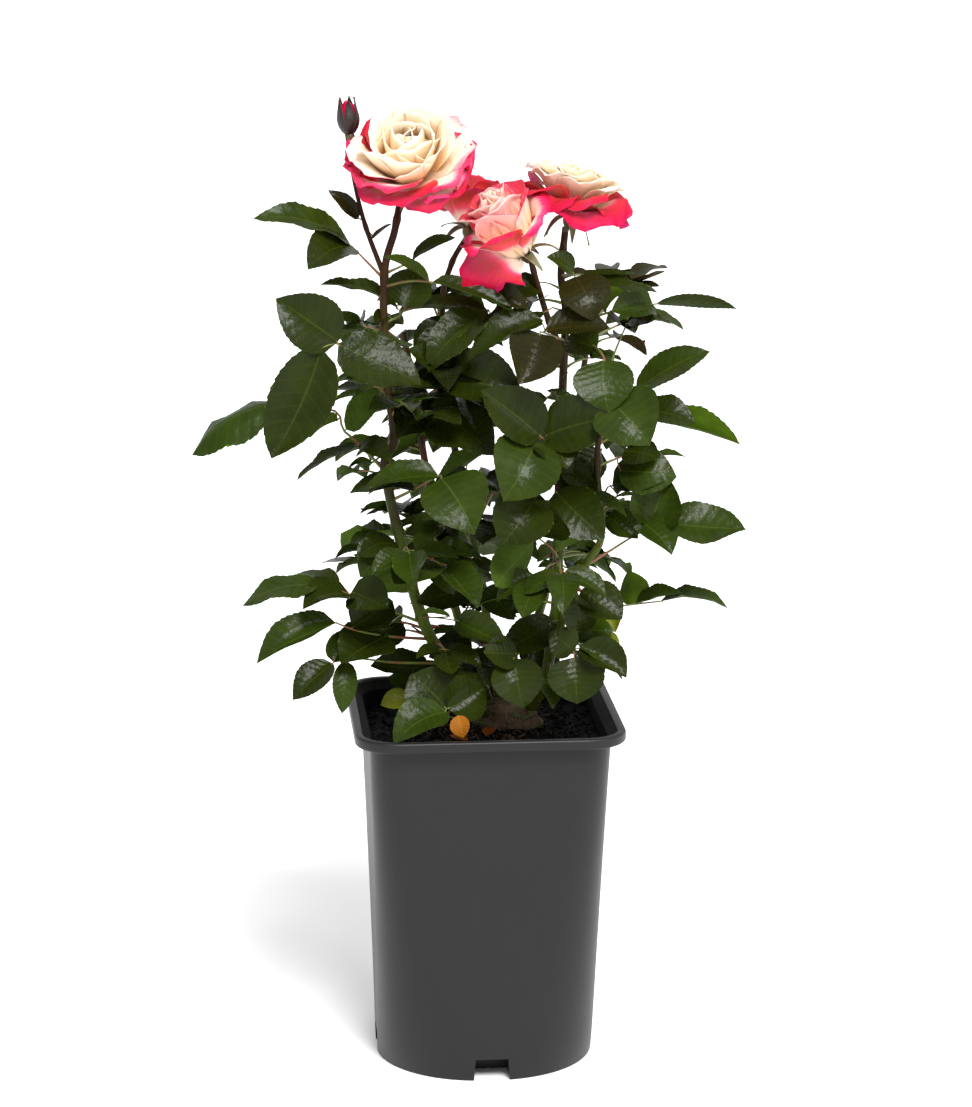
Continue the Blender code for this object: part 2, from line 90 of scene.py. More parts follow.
class Finish:
    """A material and its node tree, with one method for each kind of node that the finishes need."""

    def __init__(self, name, roughness, **inputs):
        """A new material. Other inputs of its shader are given by name, as in Specular_IOR_Level."""
        self.material = bpy.data.materials.new(name)
        self.material.use_nodes = True
        self.tree = self.material.node_tree
        self.shader = self.tree.nodes["Principled BSDF"]
        for key, value in {"Roughness": roughness, **inputs}.items():
            self.shader.inputs[key.replace("_", " ")].default_value = value

    def node(self, kind, feeds=None, **settings):
        """Adds a node, sets its own settings, and sets or links its inputs from feeds."""
        made = self.tree.nodes.new(kind)
        for key, value in settings.items():
            setattr(made, key, value)
        for key, value in (feeds or {}).items():
            self.feed(made.inputs[key], value)
        return made

    def feed(self, socket, value):
        """Links an output to the socket, or sets the socket to a plain value."""
        if isinstance(value, bpy.types.NodeSocket):
            self.tree.links.new(value, socket)
        else:
            socket.default_value = value

    def object_place(self, stretch=(1.0, 1.0, 1.0)):
        """Object coordinates, stretched along each axis."""
        place = self.node("ShaderNodeTexCoord").outputs["Object"]
        return self.node("ShaderNodeMapping", {"Vector": place, "Scale": stretch}).outputs[0]

    def surface_place(self, map_name):
        """The two coordinates of a piece's own map, as separate numbers."""
        place = self.node("ShaderNodeUVMap", uv_map=map_name).outputs[0]
        return self.node("ShaderNodeSeparateXYZ", {"Vector": place}).outputs[:2]

    def noise(self, place, scale, detail=3.0, roughness=0.5):
        feeds = {"Vector": place, "Scale": scale, "Detail": detail, "Roughness": roughness}
        return self.node("ShaderNodeTexNoise", feeds).outputs[0]

    def math(self, operation, first, second=0.0, third=0.0):
        """One sum on up to three numbers."""
        feeds = {0: first, 1: second, 2: third}
        return self.node("ShaderNodeMath", feeds, operation=operation).outputs[0]

    def aside(self, across):
        """The distance from the middle line of a map that runs from 0 to 1 across."""
        return self.math("ABSOLUTE", self.math("SUBTRACT", across, 0.5))

    def between(self, value, low, high):
        """0 below low and 1 above high, with a smooth step between them."""
        feeds = {"Value": value, "From Min": low, "From Max": high}
        return self.node("ShaderNodeMapRange", feeds, interpolation_type="SMOOTHSTEP").outputs[0]

    def blend(self, share, first, second, strength=None):
        """A colour between two, by a share, which may be weakened to a strength."""
        if strength is not None:
            share = self.math("MULTIPLY", share, strength)
        feeds = {0: share, 6: first, 7: second}
        return self.node("ShaderNodeMix", feeds, data_type="RGBA").outputs[2]

    def ramp(self, value, stops):
        """A colour that runs through stops, which are pairs of a place from 0 to 1 and a tint."""
        made = self.node("ShaderNodeValToRGB", {"Fac": value})
        elements = made.color_ramp.elements
        elements[0].position, elements[1].position = stops[0][0], stops[-1][0]
        elements[0].color, elements[1].color = tint(stops[0][1]), tint(stops[-1][1])
        for place, code in stops[1:-1]:
            elements.new(place).color = tint(code)
        return made.outputs[0]

    def relief(self, height, depth, strength=1.0):
        """Small relief on the surface: a height from 0 to 1 stands for the depth in metres."""
        feeds = {"Height": height, "Distance": depth, "Strength": strength}
        self.feed(self.shader.inputs["Normal"], self.node("ShaderNodeBump", feeds).outputs[0])

    def colour(self, value):
        self.feed(self.shader.inputs["Base Color"], value)

    def rough(self, value, low, high):
        """Roughness between low and high by a share that varies over the surface."""
        feeds = {"Value": value, "To Min": low, "To Max": high}
        self.feed(self.shader.inputs["Roughness"], self.node("ShaderNodeMapRange", feeds).outputs[0])


def mottled(name, roughness, tints, scale, detail=3.0, stretch=(1.0, 1.0, 1.0), relief=None):
    """A plain natural finish: one noise blends two tints and, where a depth and a strength are given,
    is the relief too."""
    finish = Finish(name, roughness)
    speckle = finish.noise(finish.object_place(stretch), scale, detail)
    finish.colour(finish.blend(speckle, tint(tints[0]), tint(tints[1])))
    if relief:
        finish.relief(speckle, *relief)
    return finish.material


# %% [markdown]
# ## Floor and light
# A studio floor is a plain pale sheet. A curved backdrop would stand in the way of views from behind,
# so a wide level floor under an even white sky does the same. Soft daylight from the front and above
# gives the leaves their highlights, and a weak lamp fills from the right. The sky that is seen is a
# little brighter than the one that lights, so that it is plain white.

# %% Floor and light
FLOOR_HALF = 30.0
FLOOR_DROP = 0.0002  # so that the floor and the container's underside never share a face
FLOOR_COLOUR = (0.96, 0.96, 0.96, 1.0)
SKY_STRENGTH = 0.84
SEEN_SKY_STRENGTH = 1.05
DAYLIGHT_STRENGTH = 4.0
DAYLIGHT_WIDTH = math.radians(22)  # the wider the light, the softer its shadows
PLANT_MIDDLE = (0.0, 0.0, 0.42)


def add_floor():
    """One level square."""
    corners = ((-1, -1), (1, -1), (1, 1), (-1, 1))
    mesh = bpy.data.meshes.new("floor")
    mesh.from_pydata([(x * FLOOR_HALF, y * FLOOR_HALF, -FLOOR_DROP) for x, y in corners], [], [(0, 1, 2, 3)])
    floor = bpy.data.objects.new("floor", mesh)
    bpy.context.collection.objects.link(floor)
    paper = Finish("floor_paper", 0.9, Base_Color=FLOOR_COLOUR, Specular_IOR_Level=0.1)
    mesh.materials.append(paper.material)


def add_lamp(name, kind, place, target, **settings):
    """A lamp of that kind, turned to face the target."""
    data = bpy.data.lights.new(name, kind)
    for key, value in settings.items():
        setattr(data, key, value)
    lamp = bpy.data.objects.new(name, data)
    lamp.location = place
    lamp.rotation_euler = (Vector(target) - Vector(place)).to_track_quat("-Z", "Y").to_euler()
    bpy.context.collection.objects.link(lamp)


def white_sky():
    """An even white world, with one strength for light and another for what the camera sees."""
    world = bpy.data.worlds.new("studio")
    world.use_nodes = True
    tree = world.node_tree
    sky = tree.nodes["Background"]
    sky.inputs["Color"].default_value = (1.0, 1.0, 1.0, 1.0)
    strength = tree.nodes.new("ShaderNodeMapRange")
    strength.inputs["To Min"].default_value = SKY_STRENGTH
    strength.inputs["To Max"].default_value = SEEN_SKY_STRENGTH
    tree.links.new(tree.nodes.new("ShaderNodeLightPath").outputs["Is Camera Ray"], strength.inputs["Value"])
    tree.links.new(strength.outputs["Result"], sky.inputs["Strength"])
    return world


add_floor()
add_lamp("lamp_right", "AREA", (2.0, -1.2, 1.3), PLANT_MIDDLE, energy=10.0, shape="SQUARE", size=1.0)
add_lamp("soft_daylight", "SUN", (0.42, -1.3, 1.6), (0, 0, 0), energy=DAYLIGHT_STRENGTH, angle=DAYLIGHT_WIDTH)
bpy.context.scene.world = white_sky()

# %% [markdown]
# ## From arrays to meshes
# A piece is a list of points and, for its faces, rows of point numbers. Rows of the same length make
# one group, so a whole leaf crown is a few large arrays, which go into the mesh in one call each.
# Edges between two finishes are kept crisp.

# %% Meshes from arrays
def unit(vectors):
    """The same directions with length one."""
    return vectors / np.maximum(np.linalg.norm(vectors, axis=-1, keepdims=True), 1e-12)


def make_piece(name, points, face_groups, materials, finishes=None, maps=None, values=None):
    """A mesh object from points and groups of faces. finishes gives each group's material numbers,
    maps the named surface coordinates of each face corner, values the named numbers of each point."""
    corners = np.concatenate([group.ravel() for group in face_groups])
    lengths = np.concatenate([np.full(len(group), group.shape[1]) for group in face_groups])
    starts = np.concatenate([[0], np.cumsum(lengths)[:-1]])
    mesh = bpy.data.meshes.new(name)
    mesh.vertices.add(len(points))
    mesh.vertices.foreach_set("co", np.asarray(points, np.float32).ravel())
    mesh.loops.add(len(corners))
    mesh.loops.foreach_set("vertex_index", corners.astype(np.int32))
    mesh.polygons.add(len(lengths))
    mesh.polygons.foreach_set("loop_start", starts.astype(np.int32))
    for material in materials:
        mesh.materials.append(material)
    if finishes is not None:
        finishes = np.concatenate(finishes).astype(np.int32)
        mesh.polygons.foreach_set("material_index", finishes)
    mesh.update(calc_edges=True)
    mesh.polygons.foreach_set("use_smooth", np.ones(len(lengths), bool))
    for map_name, places in (maps or {}).items():
        layer = mesh.uv_layers.new(name=map_name)
        layer.data.foreach_set("uv", np.asarray(places, np.float32).ravel())
    for value_name, numbers in (values or {}).items():
        attribute = mesh.attributes.new(value_name, "FLOAT", "POINT")
        attribute.data.foreach_set("value", np.asarray(numbers, np.float32).ravel())
    if finishes is not None:
        keep_crisp(mesh, np.repeat(finishes, lengths))
    piece = bpy.data.objects.new(name, mesh)
    bpy.context.collection.objects.link(piece)
    print(f"{name}: {len(points)} points, {int((lengths - 2).sum())} triangles")
    return piece


def keep_crisp(mesh, finish_of_corner):
    """An edge is crisp where the lowest and the highest finish number of its faces differ."""
    edge_of_corner = np.empty(len(mesh.loops), np.int32)
    mesh.loops.foreach_get("edge_index", edge_of_corner)
    lowest = np.full(len(mesh.edges), finish_of_corner.max() + 1)
    highest = np.full(len(mesh.edges), -1)
    np.minimum.at(lowest, edge_of_corner, finish_of_corner)
    np.maximum.at(highest, edge_of_corner, finish_of_corner)
    sharp = mesh.attributes.new("sharp_edge", "BOOLEAN", "EDGE")
    sharp.data.foreach_set("value", lowest != highest)


def place_piece(piece, slot, *nodes):
    """The piece rides on the only body and stands for the nodes. The slot is not used."""
    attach(piece, "root")
    if nodes:
        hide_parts(*nodes)


# %% [markdown]
# ## Grids
# Most surfaces here are a grid of points, rows along a shape and columns around or across it. Helpers
# number the faces of a tube, whose last column joins the first and whose ends are flat, and of a
# round lump, which has a point at each end. A shape that is repeated is numbered once.

# %% Grids
def tube_faces(rings, sides, first=0):
    """Four-cornered faces between rings of points, outwards, where the rings turn left about
    the way they run. Each corner's number is ring x sides + side."""
    ring, side = np.meshgrid(np.arange(rings - 1), np.arange(sides), indexing="ij")
    following = (side + 1) % sides
    here, there = first + ring * sides, first + (ring + 1) * sides
    return np.stack([here + side, here + following, there + following, there + side], -1).reshape(-1, 4)


def end_faces(rings, sides, first=0):
    """The two flat many-cornered ends that close a tube."""
    side = np.arange(sides)
    return first + np.stack([side[::-1], (rings - 1) * sides + side])


def closed_tube(rings, sides, copies=1):
    """Both groups of faces for a closed tube, or for many alike whose points follow one another."""
    return [repeat_faces(group(rings, sides), copies, rings * sides) for group in (tube_faces, end_faces)]


def ball_directions(around, along):
    """Directions over a ball, ring by ring from its bottom pole to its top pole. A direction is
    (cos a cos h, sin a cos h, sin h), for a turn a and a height angle h."""
    height = np.linspace(-math.pi / 2, math.pi / 2, along + 2)[1:-1, None]
    turn = (TURN * np.arange(around) / around)[None, :]
    rings = np.stack([np.cos(turn) * np.cos(height), np.sin(turn) * np.cos(height),
                      np.sin(height) + 0 * turn], -1).reshape(-1, 3)
    return np.vstack([rings, [(0, 0, -1), (0, 0, 1)]])


def ball_faces(around, along, copies=1):
    """The faces of balls: four-cornered between the rings, three-cornered at the poles."""
    bottom, top = around * along, around * along + 1
    side = np.arange(around)
    following = (side + 1) % around
    last = (along - 1) * around
    low = np.stack([following, side, np.full(around, bottom)], -1)
    high = np.stack([last + side, last + following, np.full(around, top)], -1)
    groups = (tube_faces(along, around), np.vstack([low, high]))
    return [repeat_faces(group, copies, top + 1) for group in groups]


def repeat_faces(faces, copies, points_each):
    """The same faces for many copies whose points follow one another."""
    offsets = np.arange(copies)[:, None, None] * points_each
    return (faces[None] + offsets).reshape(-1, faces.shape[1])


def seeded(name):
    """A random generator of the name's own: its seed is the sum of the numbers of its letters."""
    return np.random.default_rng(sum(map(ord, name)))


def waves(points, size, seed, count=6):
    """A smooth random height, from about -1 to 1: a sum of sine waves in random directions, whose
    lengths lie round the given size."""
    rng = np.random.default_rng(seed)
    ways = unit(rng.normal(size=(count, 3))) * rng.uniform(0.6, 1.7, (count, 1)) * TURN / size
    shifts = rng.uniform(0, TURN, count)
    return np.sin(points @ ways.T + shifts).sum(-1) / math.sqrt(count) * 0.8
# %% [markdown]
# ## The container's outline
# The container is moulded plastic, nearly round at its foot and square with rounded corners at its
# lip. In plan each level is a rounded square. A ray from the axis at an angle meets either a straight
# side or a corner's arc, and both meetings have a formula, so a whole wall comes out as one array.

# %% The container's outline
POT_HEIGHT = 0.250
POT_TURN = math.radians(4.93)
WALL_BASE_HALF, WALL_TOP_HALF = 0.0768, 0.0838
WALL_BASE_CORNER, WALL_TOP_CORNER = 0.0740, 0.0200
WALL_FLARE, CORNER_CHANGE = 1.5, 0.6
SKIN = 0.0018
LIP_HALF, LIP_CORNER = 0.0936, 0.0300
LIP_BAND = 0.0068
LIP_TOP_WIDTH = 0.0060
POT_SIDES = 192


def rounded_square(half, corner, height, sides):
    """Level rings in the row's axes. On a ray (c, s) a straight side lies at half / max(|c|, |s|). With
    m = half - corner, the corner's arc lies at m(|c| + |s|) + sqrt(m²(|c| + |s|)² - 2m² + corner²)."""
    half, corner, height = (np.asarray(value, float).reshape(-1, 1) for value in (half, corner, height))
    angle = TURN * np.arange(sides)[None, :] / sides
    c, s = np.abs(np.cos(angle)), np.abs(np.sin(angle))
    straight = half / np.maximum(c, s)
    middle = half - corner
    inside = (middle * (c + s)) ** 2 - 2 * middle**2 + corner**2
    arc = middle * (c + s) + np.sqrt(np.maximum(inside, 0))
    reach = np.where(straight * np.minimum(c, s) <= middle, straight, arc)
    turned = angle + POT_TURN
    return np.stack([reach * np.cos(turned), reach * np.sin(turned), height + 0 * reach], -1)


def wall_sizes(height):
    """Half width and corner radius of the wall at a height: base + (top - base) x share to a power."""
    share = np.asarray(height) / POT_HEIGHT
    half = WALL_BASE_HALF + (WALL_TOP_HALF - WALL_BASE_HALF) * share**WALL_FLARE
    corner = WALL_BASE_CORNER + (WALL_TOP_CORNER - WALL_BASE_CORNER) * share**CORNER_CHANGE
    return half, corner


half_widths = [round(float(wall_sizes(height)[0]) / MM, 1) for height in (0, POT_HEIGHT)]
print("wall half width at foot and lip, mm:", half_widths)

# %% [markdown]
# ## The container
# Going up the outside, over the lip and down the inside gives one profile, carried round the outline.
# The lip's edges are small arcs. The four feet notches with their pockets, and the drain holes, are
# cut with plain wedges and posts, as the mould's own blocks would, so their edges come out sharp.

# %% The container's profile
FOOT_ROUNDING = 0.0012
LIP_ROUNDING = 0.0019
WALL_RINGS = 26
ARC_POINTS = 6


def arc(half, corner, height, radius, start, stop):
    """Profile points on a small arc: half + r cos a, height + r sin a, with the corner following."""
    angle = np.radians(np.linspace(start, stop, ARC_POINTS))
    return np.stack([half + radius * np.cos(angle), corner + radius * np.cos(angle),
                     height + radius * np.sin(angle)], -1)


def wall_profile(low, high, inset):
    """Profile points of the wall from low to high, moved inwards by the inset."""
    height = np.linspace(low, high, WALL_RINGS)
    half, corner = wall_sizes(height)
    return np.stack([half - inset, corner - inset, height], -1)


def pot_profile():
    """Half width, corner radius and height, from the foot over the lip and down to the inner floor."""
    lip_foot = POT_HEIGHT - LIP_BAND
    top = POT_HEIGHT - LIP_ROUNDING
    foot_half, foot_corner = wall_sizes(FOOT_ROUNDING)
    edge = (LIP_HALF - LIP_ROUNDING, LIP_CORNER - LIP_ROUNDING)
    mouth = (LIP_HALF - LIP_TOP_WIDTH + LIP_ROUNDING, LIP_CORNER - LIP_TOP_WIDTH + LIP_ROUNDING)
    return np.vstack([
        arc(foot_half - FOOT_ROUNDING, foot_corner - FOOT_ROUNDING, FOOT_ROUNDING, FOOT_ROUNDING, -90, -10),
        wall_profile(2 * FOOT_ROUNDING, lip_foot - SKIN / 2, 0.0),
        arc(*edge, lip_foot + LIP_ROUNDING / 2, LIP_ROUNDING, -100, 0),
        arc(*edge, top, LIP_ROUNDING, 0, 90),
        arc(*mouth, top, LIP_ROUNDING, 90, 180),
        wall_profile(SKIN, lip_foot, SKIN)[::-1],
    ])


profile = pot_profile()
print("profile of", len(profile), "points, highest at", round(profile[:, 2].max() / MM, 1), "mm")

# %% The container
NOTCH_HEIGHT = 0.0155
NOTCH_TOP_WIDTH, NOTCH_FOOT_WIDTH = 0.0230, 0.0270
NOTCH_REACH = 0.0520
POCKET_FRONT = 0.0754
DRAIN_RADIUS, DRAIN_PLACE = 0.0050, 0.0460
DRAIN_SIDES = 20
CUT_PAST = 0.010
CRISP_ANGLE = math.radians(35)


def block(outline, near, far, quarter):
    """A wedge through the foot: an outline across and up, from near to far along the pot's quarter."""
    turned = POT_TURN + quarter * math.pi / 2
    across, up = np.array(outline).T
    points = np.vstack([np.stack([across, np.full(4, -y), up], -1) for y in (near, far)])
    c, s = math.cos(turned), math.sin(turned)
    return points @ np.array([[c, s, 0], [-s, c, 0], [0, 0, 1]])


def four_blocks(name, grow, far):
    """One wedge in the middle of each face of the container, as one mesh. Its outline is the notch's
    trapezoid, grown all round, and it starts below the foot if it isn't grown."""
    foot, top = NOTCH_FOOT_WIDTH / 2 + grow, NOTCH_TOP_WIDTH / 2 + grow
    low, high = grow * 0.5 if grow else -CUT_PAST, NOTCH_HEIGHT + grow
    outline = [(-foot, low), (foot, low), (top, high), (-top, high)]
    points = np.vstack([block(outline, NOTCH_REACH - grow, far, quarter) for quarter in range(4)])
    return make_piece(name, points, closed_tube(2, 4, 4), [])


def drain_posts():
    """Four round posts for the drain holes, between the notches."""
    around = np.arange(DRAIN_SIDES) / DRAIN_SIDES * TURN
    ring = np.stack([np.cos(around) * DRAIN_RADIUS, np.sin(around) * DRAIN_RADIUS, 0 * around], -1)
    points = []
    for quarter in range(4):
        angle = POT_TURN + math.pi / 4 + quarter * math.pi / 2
        middle = np.array([math.cos(angle), math.sin(angle), 0]) * DRAIN_PLACE
        points += [ring + middle - (0, 0, CUT_PAST), ring + middle + (0, 0, CUT_PAST)]
    return make_piece("drain_posts", np.vstack(points), closed_tube(2, DRAIN_SIDES, 4), [])


def combine(thing, tool, way):
    """Cuts the tool from the thing, or adds it, and removes the tool."""
    modifier = thing.modifiers.new(way, "BOOLEAN")
    modifier.operation = way
    modifier.solver = "EXACT"
    modifier.object = tool
    bpy.context.view_layer.update()
    done = bpy.data.meshes.new_from_object(thing.evaluated_get(bpy.context.evaluated_depsgraph_get()))
    thing.modifiers.clear()
    thing.data = done
    bpy.data.objects.remove(tool)


def build_pot(plastic, inside):
    """The profile's rings, with the pockets added and the notches and drain holes cut. The inner wall
    has its own finish, painted darker as painted shade, from the last arc of the lip down."""
    points = rounded_square(*profile.T, POT_SIDES).reshape(-1, 3)
    is_inside = np.repeat(np.arange(len(profile) - 1) >= len(profile) - WALL_RINGS - 1, POT_SIDES)
    pot = make_piece("container", points, closed_tube(len(profile), POT_SIDES), [plastic, inside],
                     [is_inside.astype(int), np.zeros(2, int)])
    combine(pot, four_blocks("pockets", SKIN, POCKET_FRONT), "UNION")
    combine(pot, four_blocks("notches", 0.0, WALL_TOP_HALF + CUT_PAST), "DIFFERENCE")
    combine(pot, drain_posts(), "DIFFERENCE")
    pot.data.set_sharp_from_angle(angle=CRISP_ANGLE)
    place_piece(pot, "pot_plastic", "pot")
    return pot


# %% [markdown]
# Container plastic is dyed through, so its colour hardly changes. What shows is a fine satin grain,
# faint dull patches from handling, and a few pale dusty smears of dried compost water. The grain is
# fine relief, and the patches only change how rough it looks.

# %% Container plastic
def plastic_finish():
    finish = Finish("pot_satin_plastic", 0.42, Specular_IOR_Level=0.26)
    place = finish.object_place()
    patches = finish.noise(place, 9.0, 4.0, 0.6)
    dust = finish.between(finish.noise(finish.object_place((1.0, 1.0, 0.35)), 26.0, 5.0, 0.65), 0.52, 0.80)
    clean = finish.blend(patches, tint("181819"), tint("1c1c1c"))
    finish.colour(finish.blend(dust, clean, tint("21201f"), 0.35))
    finish.rough(patches, 0.34, 0.50)
    grain = finish.noise(place, 900.0, 2.0)
    sag = finish.noise(place, 14.0, 2.0)
    finish.relief(finish.math("MULTIPLY_ADD", grain, 0.25, sag), 0.0007, 0.35)
    return finish.material


def inner_wall_finish():
    """The container's plastic, painted nearly black as painted shade inside the container, mottled by noise
    between two near-black tints.
    """
    finish = Finish("painted_shade_inner_plastic", 0.8, Specular_IOR_Level=0.15)
    inner_mottle = finish.noise(finish.object_place((1.0, 1.0, 0.5)), 120.0, 5.0, 0.6)
    # Two near-black tints: painted shade on the inner wall.
    finish.colour(finish.blend(finish.between(inner_mottle, 0.45, 0.75), tint("040404"), tint("0e0c0b")))
    finish.relief(inner_mottle, 0.0004, 0.6)
    return finish.material


pot = build_pot(plastic_finish(), inner_wall_finish())
print("container with notches:", len(pot.data.polygons), "faces")

# %% [markdown]
# ## Compost
# The container is filled to a finger below its lip with dark peat and bark. Its top is a lumpy sheet,
# with a low mound round the graft. Loose crumbs and splinters of bark lie on it, each a small ball
# squashed along three random lengths and turned at random, pressed half into the surface.

# %% Compost
COMPOST_LEVEL = 0.2320
COMPOST_FOOT = 0.0190
WALL_CLEARANCE = 0.0004
COMPOST_SIDES = 128
COMPOST_WALL_RINGS, COMPOST_TOP_RINGS = 12, 56
TOP_EDGE = 0.002  # from the last ring up the wall to the top
LUMP_HEIGHT = 0.0011
LUMPS = ((0.030, 0.9), (0.011, 0.6), (0.0050, 0.35))  # size of a wave and its part of the height
SETTLED = 0.0008
MOUND_HEIGHT, MOUND_WIDTH = 0.003, 0.035
KNUCKLE_CENTRE = np.array((0.016, 0.010, 0.237))


def compost_height(points):
    """The surface's height: three sizes of waves, and a low mound round the graft."""
    flat = points * (1, 1, 0)
    lumps = sum(part * waves(flat, size, seed) for seed, (size, part) in enumerate(LUMPS, 1))
    away = np.linalg.norm(flat - KNUCKLE_CENTRE * (1, 1, 0), axis=-1)
    mound = MOUND_HEIGHT * np.exp(-((away / MOUND_WIDTH) ** 2))
    return COMPOST_LEVEL + LUMP_HEIGHT * lumps + mound - SETTLED


def compost_points():
    """Rings up the filled wall, then rings that shrink to the middle of the top."""
    height = np.linspace(COMPOST_FOOT, COMPOST_LEVEL - TOP_EDGE, COMPOST_WALL_RINGS)
    half, corner = wall_sizes(height)
    inset = SKIN + WALL_CLEARANCE
    sides = rounded_square(half - inset, corner - inset, height, COMPOST_SIDES)
    share = np.linspace(0.995, 0.004, COMPOST_TOP_RINGS)[:, None, None] ** 0.85
    top = sides[-1] * np.concatenate([share, share, np.ones_like(share)], -1)
    top[..., 2] = compost_height(top)
    return np.concatenate([sides, top])


def build_fill(soil):
    rings = compost_points()
    fill = make_piece("compost_fill", rings.reshape(-1, 3), closed_tube(len(rings), COMPOST_SIDES), [soil])
    place_piece(fill, "compost", "compost")


# %% Crumbs and bark
CRUMBS = 1500
CRUMB_SIZE, CRUMB_SPREAD, LARGEST_CRUMB = 1.0 * MM, 0.45, 3.0 * MM
BARK_PIECES = 190
BARK_SIZES = ((1.8, 5.0), (0.7, 1.4), (0.35, 0.8))  # least and most: half length, width and thickness, mm
BARK_LIFT = 0.0008
RIM_POINTS = 360


def over_compost(rng, count, edge):
    """Random places on the compost, as far out as that share of the rim, and lying on its surface."""
    angle = rng.uniform(0, TURN, count)
    half, corner = wall_sizes(COMPOST_LEVEL)
    ring = rounded_square(half - SKIN, corner, 0.0, RIM_POINTS)[0]
    reach = np.sqrt(rng.uniform(0, 1, count)) * edge
    spots = ring[(angle / TURN * RIM_POINTS).astype(int) % RIM_POINTS] * reach[:, None]
    spots[:, 2] = compost_height(spots)
    return spots


def scatter(name, centres, sizes, rng, finish, around, along, roughen):
    """Many small lumps as one piece: each ball's points are roughened, stretched to its sizes and
    turned by a random frame made from two random directions."""
    ball = ball_directions(around, along)
    count = len(centres)
    first = unit(rng.normal(size=(count, 3)))
    second = unit(np.cross(first, rng.normal(size=(count, 3))))
    frames = np.stack([first, second, np.cross(first, second)], 1)
    local = ball[None] * (1 + roughen * rng.normal(size=(count, len(ball), 1))) * sizes[:, None, :]
    points = (np.einsum("npi,nij->npj", local, frames) + centres[:, None]).reshape(-1, 3)
    place_piece(make_piece(name, points, ball_faces(around, along, count), [finish]), "compost")


def build_crumbs(soil, rng):
    """Crumbs of many sizes, most of them about a millimetre."""
    spots = over_compost(rng, CRUMBS, edge=0.965)
    sizes = rng.lognormal(math.log(CRUMB_SIZE), CRUMB_SPREAD, (CRUMBS, 1))
    sizes = np.minimum(sizes * rng.uniform(0.6, 1.5, (CRUMBS, 3)), LARGEST_CRUMB)
    scatter("compost_crumbs", spots, sizes, rng, soil, around=5, along=3, roughen=0.25)


def build_bark_pieces(bark, rng):
    """Splinters: balls three to six times longer than wide, gathered round the foot of the canes."""
    spots = over_compost(rng, BARK_PIECES, edge=0.95)
    pull = rng.uniform(0.15, 1.0, (BARK_PIECES, 1))
    spots[:, :2] = KNUCKLE_CENTRE[:2] + (spots[:, :2] - KNUCKLE_CENTRE[:2]) * pull
    spots[:, 2] = compost_height(spots) + BARK_LIFT
    sizes = np.stack([rng.uniform(low, high, BARK_PIECES) for low, high in BARK_SIZES], -1) * MM
    scatter("bark_pieces", spots, sizes, rng, bark, around=6, along=3, roughen=0.12)


# %% [markdown]
# Wet peat is almost black, and its tints are darker still, as painted shade under the leaves inside
# the container. It has a grey bloom where it has dried on top of the lumps. Bark is red brown. Both are
# rough, with fine relief from noise.

# %% Compost and bark colours
def soil_finish():
    finish = Finish("dark_peat_with_painted_shade", 0.9, Specular_IOR_Level=0.12)
    place = finish.object_place()
    crumbs = finish.noise(place, 520.0, 4.0, 0.6)
    damp = finish.noise(place, 60.0, 3.0)
    # The two damp tints are near black: the peat's own darkness with painted shade under the leaves.
    dark = finish.blend(damp, tint("020201"), tint("060403"))
    finish.colour(finish.blend(finish.between(crumbs, 0.55, 0.8), dark, tint("130c07")))
    finish.relief(crumbs, 0.0012, 0.8)
    finish.rough(damp, 0.7, 0.98)
    return finish.material


soil = soil_finish()
scattering = np.random.default_rng(11)
build_fill(soil)
build_crumbs(soil, scattering)
build_bark_pieces(mottled("red_brown_bark", 0.8, ("140a07", "3d2112"), 330.0, stretch=(1.0, 1.0, 2.5),
                          relief=(0.0006, 0.7)), scattering)

# %% [markdown]
# ## Routes of the canes
# A cane is a curve through a few points chosen along it, the same points as in the solid model. A
# Catmull-Rom curve passes through all of them without corners. It is then walked in even steps, so
# that rings of points along it are evenly spaced.

# %% Routes of the canes
CANES = {  # points in millimetres, radius at the foot and at the tip
    "cane_left": ([(6, 8, 238), (-19, 0, 276), (-39, -10, 308), (-54, -16, 360), (-67, -19, 425),
                   (-61, -18, 447), (-67, -15, 500), (-67, -12, 559), (-60, -11, 588),
                   (-57, -5, 604)], 4.6, 2.4),
    "cane_middle": ([(13, 16, 240), (6, 22, 285), (0, 18, 330), (-8, 14, 375), (-22, 12, 450),
                     (-28, 14, 530), (-22, 20, 560), (-11, 22, 580)], 3.4, 1.8),
    "cane_right": ([(28, 12, 238), (43, -2, 268), (51, -12, 326), (53, -4, 399), (55, 4, 468),
                    (57, 6, 531), (54, 8, 555), (57, 10, 588)], 4.2, 2.4),
    "cane_back_left": ([(8, 17, 240), (-12, 42, 285), (-30, 60, 350), (-44, 68, 430),
                        (-56, 74, 505)], 3.6, 2.0),
    "cane_back_right": ([(22, 17, 240), (36, 44, 290), (54, 62, 360), (66, 70, 440),
                         (76, 72, 510)], 3.6, 2.0),
}
SIDE_BOUGHS = {  # the cane and height where it springs, then as above
    "bud_bough": ("cane_left", 557, [(-80, -6, 591), (-88, 2, 622), (-93, 7, 652)], 1.9, 1.1),
    "centre_bloom_bough": ("cane_right", 500, [(46, -5, 524), (38, -12, 550), (30, -17, 578)],
                           2.4, 1.8),
    "cane_far_right": ("cane_right", 292, [(62, -19, 335), (73, -21, 360), (82, -18, 378),
                                           (79, -12, 430), (84, -8, 480)], 3.0, 1.9),
}
CURVE_SAMPLES = 24
CANE_STEP = 0.0022


def travelled_along(route):
    """The distance walked from the start of a route to each of its points."""
    return np.concatenate([[0], np.cumsum(np.linalg.norm(np.diff(route, axis=0), axis=1))])


